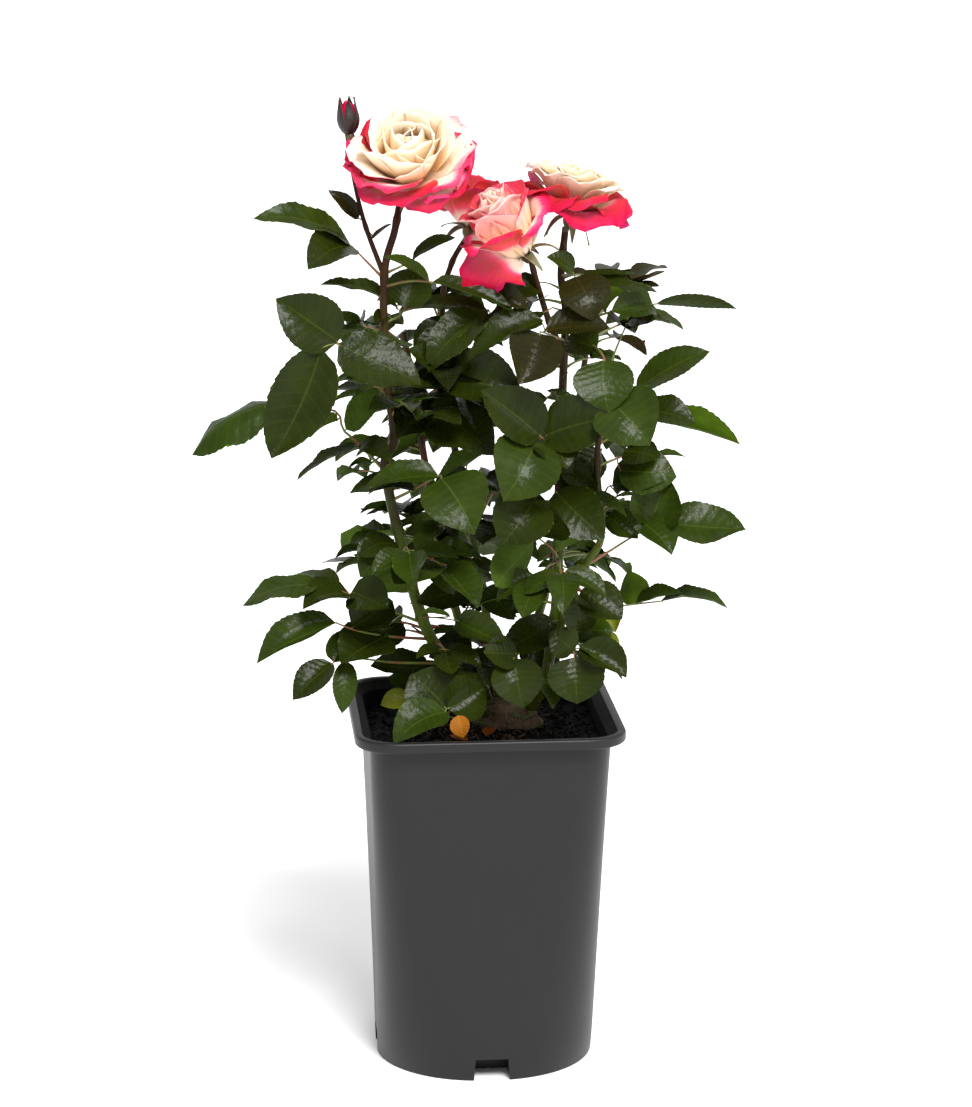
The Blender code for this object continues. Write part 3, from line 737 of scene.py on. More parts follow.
def walk(points, step):
    """Evenly spaced points on the Catmull-Rom curve through the given points. Between two points the
    curve is the usual cubic in t; it is sampled, its length added up, and the length cut evenly."""
    points = np.asarray(points, float)
    padded = np.vstack([2 * points[0] - points[1], points, 2 * points[-1] - points[-2]])
    before, start, end, after = (padded[i : len(points) - 1 + i, None] for i in range(4))
    t = np.linspace(0, 1, CURVE_SAMPLES, endpoint=False)[None, :, None]
    curve = 0.5 * (2 * start + (end - before) * t + (2 * before - 5 * start + 4 * end - after) * t**2
                   + (3 * start - before - 3 * end + after) * t**3)
    curve = np.vstack([curve.reshape(-1, 3), points[-1:]])
    travelled = travelled_along(curve)
    places = np.linspace(0, travelled[-1], max(3, round(travelled[-1] / step) + 1))
    return np.stack([np.interp(places, travelled, curve[:, axis]) for axis in range(3)], -1)


def at_height(route, height):
    """The point of a rising route at a height."""
    return np.array([np.interp(height, route[:, 2], route[:, axis]) for axis in range(3)])


def trace_canes():
    """The route, foot radius and tip radius of every cane and bough, in metres."""
    routes = {}
    for name, (points, foot, tip) in CANES.items():
        routes[name] = (walk(np.array(points) * MM, CANE_STEP), foot * MM, tip * MM)
    for name, (parent, height, points, foot, tip) in SIDE_BOUGHS.items():
        start = at_height(routes[parent][0], height * MM)
        route = walk(np.vstack([start, np.array(points) * MM]), CANE_STEP)
        routes[name] = (route, foot * MM, tip * MM)
    return routes


routes = trace_canes()
print("cane lengths, mm:", {name: round(len(r) * CANE_STEP / MM) for name, (r, _, _) in routes.items()})

# %% [markdown]
# ## Canes
# A rose cane is a round green stem that browns with age. It swells at each node, where a leaf stood,
# and is slightly ribbed between them. The tube's radius is the taper, times small ribs that turn
# slowly round the cane, plus a bump at every node.

# %% Canes
CANE_SIDES = 16
NODE_SPACING = 0.034
NODE_SWELL = 0.22
NODE_LENGTH = 0.0028
RIB_DEPTH = 0.035
UPRIGHT_REFERENCE = (0.0, 1.0, 0.0)  # no upright route runs this way, so its rings never spin


def frames_along(route, reference):
    """Directions along, sideways and to the front at each point: sideways is square to the route and
    to the reference, front is square to both."""
    along = unit(np.gradient(route, axis=0))
    side = unit(np.cross(along, reference))
    return along, side, np.cross(along, side)


def round_tube(route, radius, sides, reference=UPRIGHT_REFERENCE):
    """Rings round a route: centre + r (side cos a + front sin a). radius is one number for each ring,
    or one for each ring and side."""
    _, side, front = frames_along(route, reference)
    angle = TURN * np.arange(sides) / sides
    radius = np.asarray(radius, float).reshape(len(route), -1, 1)
    around = np.cos(angle)[None, :, None] * side[:, None] + np.sin(angle)[None, :, None] * front[:, None]
    return route[:, None] + radius * around


def node_places(name, length):
    """Distances of the nodes along a cane, evenly spaced with a little seeded change."""
    count = max(1, int(length / NODE_SPACING))
    places = (np.arange(count) + 0.6) * length / count
    return places + seeded(name).uniform(-0.2, 0.2, count) * NODE_SPACING


def cane_rings(name):
    """Rings of one cane, with its swollen nodes and with ribs: sin(3a + 40s) + 0.6 sin(5a - 90s), for
    an angle a round the cane and a distance s along it."""
    route, foot, tip = routes[name]
    along = travelled_along(route)
    share = along / along[-1]
    radius = foot + (tip - foot) * share
    bumps = np.exp(-(((along[:, None] - node_places(name, along[-1])) / NODE_LENGTH) ** 2)).sum(1)
    a = (TURN * np.arange(CANE_SIDES) / CANE_SIDES)[None, :]
    s = along[:, None]
    ribs = np.sin(3 * a + 40 * s) + 0.6 * np.sin(5 * a - 90 * s)
    shape = radius[:, None] * (1 + NODE_SWELL * bumps[:, None] + RIB_DEPTH * ribs)
    return round_tube(route, shape, CANE_SIDES)


def build_canes(bark):
    for name in routes:
        rings = cane_rings(name)
        faces = closed_tube(len(rings), CANE_SIDES)
        place_piece(make_piece("bark_of_" + name, rings.reshape(-1, 3), faces, [bark]), "cane_bark", name)


# %% [markdown]
# Young rose bark is green. Low down it is a bright yellow green with red flushes and corky specks,
# and higher up it turns olive and then red brown. The colour is a ramp over height, broken by noise
# that is stretched upwards, so that flushes run along the canes.

# %% Bark colours
BARK_BY_HEIGHT = ((0.235, "352c0f"), (0.270, "404d0c"), (0.335, "44530d"), (0.380, "35400c"),
                  (0.420, "2d1e08"), (0.500, "352808"), (0.560, "321b07"), (0.640, "2c0c07"))


def bark_finish():
    finish = Finish("rose_cane_bark", 0.45, Specular_IOR_Level=0.16)
    place = finish.node("ShaderNodeTexCoord").outputs["Object"]
    height = finish.node("ShaderNodeSeparateXYZ", {"Vector": place}).outputs[2]
    streaks = finish.noise(finish.object_place((1.0, 1.0, 0.16)), 300.0, 4.0, 0.6)
    wander = finish.math("MULTIPLY_ADD", finish.noise(finish.object_place(), 30.0), 0.06, -0.03)
    low, high = BARK_BY_HEIGHT[0][0], BARK_BY_HEIGHT[-1][0]
    share = finish.node("ShaderNodeMapRange", {"Value": finish.math("ADD", height, wander),
                                               "From Min": low, "From Max": high}).outputs[0]
    grown = finish.ramp(share, [((level - low) / (high - low), code) for level, code in BARK_BY_HEIGHT])
    flushes = finish.between(finish.noise(finish.object_place((1.0, 1.0, 0.3)), 75.0, 3.0, 0.6), 0.58, 0.72)
    flushed = finish.blend(flushes, grown, tint("5d1d1a"), 0.75)
    specks = finish.between(streaks, 0.60, 0.74)
    finish.colour(finish.blend(specks, flushed, tint("76683e"), 0.5))
    finish.relief(streaks, 0.0004, 0.6)
    finish.rough(streaks, 0.32, 0.62)
    return finish.material


build_canes(bark_finish())

# %% [markdown]
# ## Thorns
# Thorns are curved hooks that sit on the bark, one or two between nodes, and point a little down. Each
# is four rings that shrink to a tip: the base is longer along the cane than across it, and the rings
# slide down the cane with the square of their height, which gives the hook.

# %% Thorns
THORN_SPACING = 0.0242
THORN_HEIGHT = 0.0062
THORN_SIDES = 6
THORN_LEVELS = np.array((0.0, 0.35, 0.68, 1.0))
THORN_HALF_LENGTH, THORN_HALF_WIDTH = 0.38, 0.15  # of its base, as parts of its height
THORN_HOOK = 0.45
THORN_SUNK = 0.12
THORN_BLUNT = 0.02  # so that the tip is a tiny flat, not a point
THORN_ZONE, THORN_GATHER = (0.06, 0.80), 1.15  # the part of a cane that bears them, and a pull downwards
THORN_CANES = ("cane_left", "cane_right", "cane_middle", "cane_far_right", "cane_back_left",
               "cane_back_right")


def thorn_points(roots, outwards, along, height):
    """For each thorn, ring points: root + out (h - sunk) - along hook h² + outline (1 + blunt - h)."""
    across = np.cross(along, outwards)
    angle = TURN * np.arange(THORN_SIDES) / THORN_SIDES
    level = THORN_LEVELS[None, :, None, None]
    outline = (THORN_HALF_WIDTH * np.sin(angle)[None, None, :, None] * across[:, None, None]
               + THORN_HALF_LENGTH * np.cos(angle)[None, None, :, None] * along[:, None, None])
    spine = outwards[:, None, None] * (level - THORN_SUNK) - THORN_HOOK * level**2 * along[:, None, None]
    return roots[:, None, None] + height[:, None, None, None] * (spine + outline * (1 + THORN_BLUNT - level))


def build_thorns(finish):
    """Thorns spread along each cane, turned about it by the golden angle from one to the next."""
    points = []
    rng = np.random.default_rng(5)
    for name in THORN_CANES:
        route, foot, tip = routes[name]
        count = int(travelled_along(route)[-1] / THORN_SPACING)
        share = np.sort(rng.uniform(*THORN_ZONE, count)) ** THORN_GATHER
        spots = (share * (len(route) - 1)).astype(int)
        way, side, front = (vectors[spots] for vectors in frames_along(route, UPRIGHT_REFERENCE))
        turn = (np.arange(count) * GOLDEN + rng.uniform(-0.6, 0.6, count))[:, None]
        outwards = np.cos(turn) * side + np.sin(turn) * front
        radius = (foot + (tip - foot) * share)[:, None]
        height = THORN_HEIGHT * rng.uniform(0.5, 1.1, count) * (1.15 - 0.55 * share)
        points.append(thorn_points(route[spots] + outwards * radius, outwards, way, height))
    points = np.concatenate(points)
    faces = closed_tube(len(THORN_LEVELS), THORN_SIDES, len(points))
    place_piece(make_piece("thorns", points.reshape(-1, 3), faces, [finish]), "cane_bark")


build_thorns(mottled("red_thorn", 0.4, ("4e1715", "8d3d31"), 160.0, 2.0))

# %% [markdown]
# ## The graft
# Where the rose was grafted on its rootstock the wood swells into a lump, with old cut marks and dry
# bark. It is a ball stretched to the solid model's sizes and pushed in and out by two sizes of waves.

# %% The graft
KNUCKLE_SIZE = np.array((0.025, 0.019, 0.017))
KNUCKLE_FILL = 0.94  # the part of those sizes that leaves room for the lumps
KNUCKLE_LUMPS, KNUCKLE_CUTS = 0.15, 0.09
GRAFT_GRID = (40, 22)


def build_graft(finish):
    """Centre + direction x size x (1 + lumps + cuts)."""
    ball = ball_directions(*GRAFT_GRID)
    lumps = 1 + KNUCKLE_LUMPS * waves(ball, 0.9, 21) + KNUCKLE_CUTS * waves(ball, 0.32, 22)
    points = KNUCKLE_CENTRE + ball * KNUCKLE_SIZE * KNUCKLE_FILL * lumps[:, None]
    graft = make_piece("graft_bark", points, ball_faces(*GRAFT_GRID), [finish])
    place_piece(graft, "cane_bark", "graft_knuckle")


def graft_finish():
    """Cracked brown wood with patches of moss, which stand out a little."""
    finish = Finish("old_graft_bark", 0.85)
    cracks = finish.noise(finish.object_place((1.0, 1.0, 0.4)), 210.0, 5.0, 0.65)
    moss = finish.between(finish.noise(finish.object_place(), 110.0, 4.0), 0.46, 0.64)
    wood = finish.blend(cracks, tint("1c110b"), tint("6a5238"))
    finish.colour(finish.blend(moss, wood, tint("4c5620"), 0.7))
    finish.relief(finish.math("MULTIPLY_ADD", moss, 0.8, cracks), 0.0030, 1.0)
    return finish.material


build_graft(graft_finish())


# %% [markdown]
# ## One leaflet
# A rose leaflet is an oval blade, widest below its middle, folded a little along its midrib, with
# fine forward-pointing teeth. One could model it once and copy it, but no two hang alike. So one
# numbering of points and faces serves them all, and each leaflet bends it with its own numbers. A
# blade is a closed sheet half a millimetre thick: upper and lower skin meet along the toothed edge.

# %% Numbering a leaflet
LEAF_ROWS = 8
TEETH_IN_ROW = 2
TOOTH_LEAN = 0.80  # a tooth's point lies this far along its part of the edge
ROW_ACROSS = np.array((-1.0, -0.5, 0.0, 0.5, 1.0, -0.5, 0.0, 0.5))  # upper skin with both edges, then lower
ROW_LOWER = np.array((0, 0, 0, 0, 0, 1, 1, 1))
ROW_POINTS = len(ROW_ACROSS)
ROW_STEPS = np.arange(LEAF_ROWS + 1) / LEAF_ROWS
ROW_PLACES = 0.5 * ROW_STEPS + 0.25 * (1 - np.cos(math.pi * ROW_STEPS))  # closer together at both ends
BASE_POLE, TIP_POLE = 0, 1
EDGE_POINTS = 2 * TEETH_IN_ROW - 1  # on one side of one row: teeth, and the notches between them
FIRST_EDGE = 2 + (LEAF_ROWS - 1) * ROW_POINTS
LEAF_POINTS = FIRST_EDGE + 2 * LEAF_ROWS * EDGE_POINTS


def leaf_coordinates():
    """For each point of a leaflet: across from -1 to 1, along from 0 to 1, 1 on the lower skin, and 1
    at the point of a tooth. The poles come first, then the rows, then the edges."""
    teeth = (np.arange(TEETH_IN_ROW) + TOOTH_LEAN) / TEETH_IN_ROW
    notches = np.arange(1, TEETH_IN_ROW) / TEETH_IN_ROW
    within = np.sort(np.concatenate([teeth, notches]))
    is_tooth = np.tile(np.isin(within, teeth).astype(float), 2 * LEAF_ROWS)
    edge_along = (ROW_PLACES[:-1, None] + np.diff(ROW_PLACES)[:, None] * within).ravel()
    edge_across = np.repeat((-1, 1), len(edge_along))
    across = np.concatenate([[0, 0], np.tile(ROW_ACROSS, LEAF_ROWS - 1), edge_across])
    along = np.concatenate([[0, 1], np.repeat(ROW_PLACES[1:-1], ROW_POINTS), edge_along, edge_along])
    lower = np.concatenate([[0, 0], np.tile(ROW_LOWER, LEAF_ROWS - 1), 0 * is_tooth])
    return across, along, lower, np.concatenate([np.zeros(FIRST_EDGE), is_tooth])


def row_points(row):
    """The numbers of the points between two rows. An end of the leaflet is a pole."""
    if row in (0, LEAF_ROWS):
        return [BASE_POLE if row == 0 else TIP_POLE] * ROW_POINTS
    return [2 + (row - 1) * ROW_POINTS + k for k in range(ROW_POINTS)]


def leaf_faces():
    """Faces of one leaflet as groups by corner count, each with its finish: 0 above, 1 below. On each
    side of the midrib and on each skin, a row has one face to the midrib and one to the toothed edge,
    which both skins share. A doubled corner at a pole is dropped."""
    found = {}
    for row in range(LEAF_ROWS):
        low, high = row_points(row), row_points(row + 1)
        for side, outer, inner_points in ((0, 0, (1, 5)), (1, 4, (3, 7))):
            first = FIRST_EDGE + (side * LEAF_ROWS + row) * EDGE_POINTS
            edge = [low[outer], *range(first, first + EDGE_POINTS), high[outer]]
            for finish, inner, middle in zip((0, 1), inner_points, (2, 6)):
                for cell in ([low[inner], *edge, high[inner]],
                             [low[middle], low[inner], high[inner], high[middle]]):
                    cell = list(dict.fromkeys(cell if side != finish else cell[:1] + cell[:0:-1]))
                    found.setdefault((len(cell), finish), []).append(cell)
    return [(np.array(cells), finish) for (_, finish), cells in sorted(found.items())]


def edge_neighbours():
    """For each edge point: the outer points of the rows before and after it, and those further in."""
    found = []
    for outer, inner in ((0, 1), (4, 3)):
        for row in range(LEAF_ROWS):
            low, high = row_points(row), row_points(row + 1)
            found += [[low[outer], high[outer], low[inner], high[inner]]] * EDGE_POINTS
    return np.array(found).T


LEAF_ACROSS, LEAF_ALONG, LEAF_LOWER, LEAF_TOOTH = leaf_coordinates()
EDGE_ROWS = edge_neighbours()
LEAF_FACES = leaf_faces()
print("one leaflet:", LEAF_POINTS, "points,", sum(len(cells) for cells, _ in LEAF_FACES), "faces")

# %% [markdown]
# The blade's half width is a power of the distance from its base times a power of the distance from
# its tip, scaled so that it is one at its widest. The cross-section is a shallow V, the midrib an
# arch, the margins wave, and the whole blade may twist. Each of these is one term of the height.

# %% Shaping the leaflets
BASE_POWER, TIP_POWER = 0.55, 0.64
DRAWN_OUT_TIP = 0.45
BLADE_THICKNESS = 0.00045
OWN_FOLD = math.nan  # stands for a leaflet that folds by its own seeded angle
TOOTH_REACH = 0.013
# The least and most of each seeded number: powers, degrees, then parts of the half width or length.
BASE_POWER_CHANGE, TIP_POWER_CHANGE = (-0.06, 0.06), (-0.05, 0.12)
FOLD, TWIST = (4, 36), (-32, 32)
MARGIN_LIFT, WAVE_HEIGHT, WAVE_COUNT = (-0.10, 0.16), (0.004, 0.045), (1.2, 2.4)
ARCH, TIP_DROOP, SWERVE = (-0.02, 0.12), (0.0, 0.14), (-0.05, 0.05)


def blade_width(along, base_power, tip_power):
    """1 at the widest place m: (v / m) to the base power times ((1 - v) / (1 - m)) to the tip power,
    and narrower by a share of v to the 8th, which draws the tip out to a point."""
    widest = base_power / (base_power + tip_power)
    oval = (along / widest) ** base_power * ((1 - along) / (1 - widest)) ** tip_power
    return oval * (1 - DRAWN_OUT_TIP * along**8)


def leaflet_points(base, tip, width, facing, fold, rng):
    """Points of many leaflets. Each has a frame: along from base to tip, up towards its facing, and
    side. Side offset: u w cos(fold), plus a swerve 4v(1 - v). Height: |u| w sin(fold), plus margins
    that lift with u², waves along them, an arch 4v(1 - v) and a tip that droops with v to the 4th.
    Leaflets whose fold isn't given get their own, and a twist about their length."""
    count = len(base)
    length = np.linalg.norm(tip - base, axis=1)[:, None]
    way = unit(tip - base)
    up = unit(facing - (facing * way).sum(1, keepdims=True) * way)
    side = np.cross(way, up)
    u, v = LEAF_ACROSS[None], LEAF_ALONG[None]

    def vary(low, high):
        return rng.uniform(low, high, (count, 1))

    base_power, tip_power = BASE_POWER + vary(*BASE_POWER_CHANGE), TIP_POWER + vary(*TIP_POWER_CHANGE)
    half = width[:, None] / 2 * blade_width(v, base_power, tip_power)
    hump = 4 * v * (1 - v)
    fade = np.sqrt(np.clip(hump, 0, 1))
    own = np.isnan(fold[:, None])
    fold = np.radians(np.where(own, vary(*FOLD), fold[:, None]))
    twist = np.radians(vary(*TWIST)) * own * (v - 0.2)
    across = u * half * np.cos(fold)
    height = np.abs(u) ** 1.25 * half * np.sin(fold)
    height = height + vary(*MARGIN_LIFT) * half * (u**2)
    crest = vary(*WAVE_HEIGHT) * length * u**2
    height = height + crest * np.sin(TURN * vary(*WAVE_COUNT) * v + vary(0, TURN)) * fade
    arch = vary(*ARCH) * hump - vary(*TIP_DROOP) * v**4
    swerve = vary(*SWERVE) * hump
    turned_across = across * np.cos(twist) - height * np.sin(twist) + swerve * length
    turned_height = across * np.sin(twist) + height * np.cos(twist) + arch * length
    turned_height = turned_height - LEAF_LOWER[None] * BLADE_THICKNESS
    points = base[:, None] + way[:, None] * (length * v)[..., None]
    points = points + side[:, None] * turned_across[..., None] + up[:, None] * turned_height[..., None]
    return with_teeth(points, TOOTH_REACH * length * fade)


def with_teeth(points, reach):
    """Edge points moved onto the straight line between the rows on either side, so that each edge face
    is nearly flat. A tooth then stands out from that line, away from the midrib."""
    low, high, low_inner, high_inner = (points[:, numbers] for numbers in EDGE_ROWS)
    low_at, high_at = LEAF_ALONG[EDGE_ROWS[0]], LEAF_ALONG[EDGE_ROWS[1]]
    share = ((LEAF_ALONG[FIRST_EDGE:] - low_at) / (high_at - low_at))[None, :, None]
    outwards = unit((low + high) - (low_inner + high_inner))
    tooth = (LEAF_TOOTH[None] * reach)[:, FIRST_EDGE:, None]
    points[:, FIRST_EDGE:] = low * (1 - share) + high * share + outwards * tooth
    return points


# %% [markdown]
# ## Joining leaflets into one piece
# Hundreds of leaflets of one colour are joined in one piece. Each corner carries two sets of surface
# coordinates: one runs from base to tip and edge to edge of every blade, for the veins, and one gives
# every skin of every blade its own square in a chequerboard, so that no two share a place.

# %% Joining leaflets
CELL_MARGIN = 0.06


def leaf_maps(count):
    """The vein map, and the chequerboard map with square number 2 x leaflet + finish."""
    squares = math.ceil(math.sqrt(2 * count))
    vein, board = [], []
    for cells, finish in LEAF_FACES:
        places = np.stack([LEAF_ACROSS[cells] / 2 + 0.5, LEAF_ALONG[cells]], -1)
        square = 2 * np.arange(count) + finish
        corner = np.stack([square % squares, square // squares], -1)[:, None, None]
        inside = CELL_MARGIN + (1 - 2 * CELL_MARGIN) * places
        vein.append(np.broadcast_to(places, (count, *places.shape)).reshape(-1, 2))
        board.append(((corner + inside[None]) / squares).reshape(-1, 2))
    return {"blade": np.concatenate(vein), "OFBake": np.concatenate(board)}


def join_leaflets(name, points, finishes):
    """One piece from the points of many leaflets."""
    count = len(points)
    groups = [repeat_faces(cells, count, LEAF_POINTS) for cells, _ in LEAF_FACES]
    numbers = [np.full(len(group), finish) for group, (_, finish) in zip(groups, LEAF_FACES)]
    return make_piece(name, points.reshape(-1, 3), groups, finishes, numbers, leaf_maps(count))


# %% [markdown]
# ## Leaves that make the outline
# A leaf of a rose is compound: a stalk with pairs of leaflets and one at its end. The leaves that give
# the bush its outline, and those nearest the front, are placed one by one, in a list that is read
# below. Each place was picked in the camera's view, with a guessed depth. For most of them a small
# program outside this file worked out the millimetres, and many were then changed by hand.
# A leaf's first line names the cane, the height where the leaf springs and, after the colon, the
# points that its stalk passes through. Its leaflets follow: base, tip, width and lean, then the tint
# if it isn't deep, and in two cases the fold, in millimetres and degrees. A lean of 0 faces the sky,
# 90 faces the front, and a negative lean shows the paler underside.

# %% Leaves placed one by one
# The tint lit, on two leaflets, is painted light shining through them.
PLACED_LEAVES = """
cane_left 555: -79 -12 567, -89 -14 578
  -90 -14 579 -154 -34 601 25 28 mid; -90 -14 578 -117 -52 568 34 60
bud_bough 594: -83 -2 595
  -85 -2 595 -104 -6 616 13 50 bronze; -76 -6 582 -63 -8 594 7 20 bronze
cane_left 525: -57 -8 529, -54 2 532, -42 8 534
  -58 0 533 -111 -14 552 15 28 mid; -54 2 533 -46 16 560 34 70 mid; -42 8 534 4 4 531 22 25
  -65 -6 531 -73 -22 526 12 60
cane_left 559: -48 -8 567
  -48 -8 568 -19 -14 585 13 30
cane_left 550: -52 -22 555, -36 -30 556, 1 -24 548
  -36 -30 556 -67 -34 575 16 20 mid; -34 -30 556 22 -40 537 20 20; 1 -24 548 31 -34 539 22 60 bronze
cane_left 505: -83 -44 514, -98 -62 519, -108 -70 517
  -97 -62 520 -138 -66 550 40 70; -108 -70 517 -141 -92 446 50 85; -97 -62 518 -41 -74 495 40 55
  -90 -52 517 -47 -26 514 24 20 mid
cane_left 422: -86 -20 443, -96 -24 453, -102 -28 467, -142 -30 472
  -142 -30 473 -200 -40 441 40 26 lit -30; -94 -24 453 -72 -10 480 24 -50 mid
  -99 -26 460 -118 -44 452 22 -40 mid; -86 -20 442 -129 -34 424 18 15; -85 -20 441 -62 -44 435 20 45
cane_left 402: -46 -30 413, -30 -46 425, -28 -64 427
  -30 -46 425 -81 -52 418 28 30 mid; -46 -30 411 -92 -24 409 30 15; -28 -66 427 -6 -98 398 50 55 mid
cane_left 357: -60 -20 370
  -59 -20 371 -84 -34 369 24 30; -59 -20 369 -85 -30 351 36 40 mid
cane_left 335: -54 -24 340
  -52 -24 338 -80 -40 349 22 -60 mid
cane_left 313: -70 -34 330, -91 -46 342, -112 -52 350
  -112 -52 350 -164 -64 339 26 28 mid; -91 -46 342 -121 -72 342 32 30; -90 -46 344 -65 -66 338 34 60
  -100 -48 346 -128 -30 356 26 20
cane_left 301: -66 -28 308, -87 -44 316, -101 -50 323
  -101 -50 323 -156 -66 303 34 25 mid; -90 -46 318 -62 -28 334 36 60; -66 -30 309 -96 -62 300 40 50
cane_left 282: -60 -24 288, -86 -40 295, -103 -46 294
  -103 -46 293 -131 -62 273 26 35; -103 -46 294 -95 -34 315 20 50; -94 -43 294 -97 -58 261 17 65 mid
cane_left 270: -32 -30 272, -25 -62 265
  -25 -62 265 -50 -50 286 42 75; -24 -62 265 2 -52 278 40 75; -25 -62 263 -60 -86 250 34 45 mid
cane_left 258: -24 -40 256, -18 -64 258
  -17 -72 263 -13 -78 249 14 80 dry
cane_left 264: -34 4 262
  -52 2 258 -72 -2 252 17 55 yellow; -48 10 262 -66 14 270 16 40 mid
cane_right 300: 30 -32 300, 21 -52 298
  21 -52 298 28 -64 266 38 80; 24 -46 300 2 -62 306 26 55
cane_right 296: 60 -30 303, 63 -48 300
  63 -48 298 65 -60 268 42 80; 67 -42 304 99 -54 285 32 45; 63 -44 301 46 -46 315 24 70
cane_far_right 330: 66 -28 322, 68 -36 314
  68 -36 313 62 -42 343 26 75; 68 -32 342 96 -46 325 32 55
cane_right 318: 72 4 318, 93 10 320, 125 10 324
  106 10 321 103 18 344 25 -60 fresh; 108 10 322 139 4 334 20 20 mid; 125 10 324 172 2 323 22 10 mid
  88 8 319 93 -4 306 20 60 yellow
cane_right 352: 50 -26 367, 38 -42 381
  35 -45 380 6 -62 352 29 -72 pale; 50 -28 368 84 -18 382 24 -50 pale; 38 -46 383 44 -74 412 40 70
cane_right 421: 46 -30 440, 40 -52 453
  40 -52 453 -1 -66 488 42 60; 36 -56 451 14 -84 416 54 60 mid; 43 -50 451 57 -70 436 34 40
  42 -48 453 88 -60 468 44 60
cane_right 430: 44 -30 426, 38 -60 418
  38 -60 416 13 -78 384 44 70
cane_right 504: 70 -16 512, 82 -38 506, 86 -50 480
  82 -40 504 85 -62 474 42 75 mid; 78 -28 509 58 -12 516 30 60 mid; 86 -50 478 112 -72 453 50 65 mid
cane_far_right 462: 95 6 470, 108 10 474, 122 8 460
  106 10 474 154 4 506 28 34 mid; 109 4 461 146 -12 457 28 40; 120 8 456 180 -4 445 31 -46 lit 24
cane_right 510: 44 -28 520, 39 -44 524
  39 -46 523 24 -74 494 44 55 bronze; 42 -40 524 86 -46 528 30 35 bronze; 41 -32 530 -11 -50 509 32 30
cane_right 555: 63 -18 559, 68 -10 558
  63 -20 558 74 -44 534 36 60 bronze; 67 -10 558 105 -6 559 11 12; 68 -10 557 120 -14 550 15 28
  62 -14 560 44 -20 572 20 45 mid
cane_right 518: 81 4 528, 104 4 534, 119 2 536
  119 2 536 174 -8 537 16 24; 117 2 536 88 -16 534 30 55 mid; 84 4 530 100 14 545 26 -50 fresh
cane_far_right 478: 90 -2 500, 99 0 522
  98 0 522 84 -20 526 15 25; 99 0 523 118 -8 529 20 25; 99 0 522 104 -24 520 15 60
cane_far_right 425: 92 -6 429, 103 0 432
  98 -2 434 120 -16 433 28 35; 103 0 427 142 -6 434 13 -30 pale; 94 -4 420 134 -12 419 38 45 mid
cane_far_right 357: 88 -8 364, 102 -4 372, 116 -8 381
  116 -8 381 128 -6 416 44 70 mid; 128 -8 384 182 -18 383 36 45 mid; 111 -8 384 130 -32 369 34 45 mid
cane_middle 516: 6 -8 530
  6 -20 532 -39 -44 500 32 35; -20 6 524 -47 4 497 30 60
cane_middle 485: -22 -10 489, -22 -30 491
  -22 -30 491 26 -50 484 46 60; -24 -30 488 -60 -46 485 24 30; -22 -26 491 -50 -40 512 28 45
cane_middle 455: -36 -24 463
  -36 -24 463 8 -46 440 46 50; -34 -14 462 -58 -36 450 30 40
cane_far_right 400: 87 4 407
  90 0 409 132 -10 421 34 45 mid
cane_far_right 322: 75 0 309
  73 -4 306 91 -10 308 18 50 fresh; 75 4 310 92 8 312 22 60; 77 -4 301 96 -14 295 18 30 yellow
cane_middle 522: -10 -6 530, 4 -18 535
  4 -19 534 -41 -34 500 18 42 mid; -18 0 524 -46 -14 498 20 50
cane_right 530: 48 -14 536
  43 -20 534 -12 -36 507 20 18
cane_right 545: 46 -4 551
  38 -6 553 14 -20 543 22 60
cane_middle 488: -18 -12 491
  -14 -12 490 -38 -22 504 18 50; -11 -16 492 -17 -6 510 16 30; -20 -24 491 23 -40 484 24 62
cane_middle 470: -20 -8 476, -4 -8 469
  -22 -14 477 -46 -26 446 9 20 mid; -24 -10 478 -65 -20 480 14 15; 0 -6 466 -20 -18 454 17 -60 pale
  4 -6 458 -12 -10 450 8 20
cane_right 474: 50 -8 476
  44 -10 473 25 -20 464 15 40; 44 -6 477 69 -16 466 10 15 mid
cane_middle 352: -18 -2 360, -30 -8 361
  -33 -8 360 -20 -24 337 24 75 mid; -30 -4 362 -62 -8 352 24 55
cane_middle 345: 2 0 352
  6 -6 357 -15 -18 346 17 45; 12 6 356 34 -4 327 26 65
cane_right 340: 44 -14 344
  38 -14 347 14 -26 334 18 50; 43 -12 331 19 -24 323 20 45
cane_middle 330: -2 -6 337
  -3 -14 337 -46 -26 332 24 50; 0 -4 336 22 -18 318 22 60 mid
cane_right 328: 36 -28 333
  27 -30 334 -13 -36 327 10 5
cane_left 318: -36 -26 321
  -22 -30 322 -46 -30 324 12 -30 pale; -18 -34 321 16 -54 310 26 55 mid
cane_right 312: 52 -20 317
  50 -22 318 14 -42 301 28 60
cane_left 278: -30 4 277
  -37 6 275 -79 -6 281 26 35; -28 2 280 -52 -14 262 24 50
cane_left 300: -50 2 308
  -57 6 311 -79 -6 298 28 60
cane_middle 290: -2 8 292
  -6 0 291 -27 -14 280 20 60; -8 12 296 -38 2 286 22 60
cane_right 292: 36 12 295
  28 16 294 55 6 275 26 60
cane_right 423: 55 -6 425
  56 -7 424 76 -20 407 22 60
cane_far_right 386: 84 0 389
  86 3 387 108 -8 373 24 50 mid
cane_far_right 430: 83 10 433
  82 17 431 57 6 406 30 60
cane_middle 418: -14 6 421, -2 -2 431
  -11 4 420 -33 -10 399 26 60; 0 -4 432 -32 -14 416 20 -50 pale
cane_right 400: 50 -30 411
  50 -30 411 83 -58 386 38 50; 63 -20 406 100 -30 396 22 20 mid; 55 -18 409 78 -6 424 30 60
"""


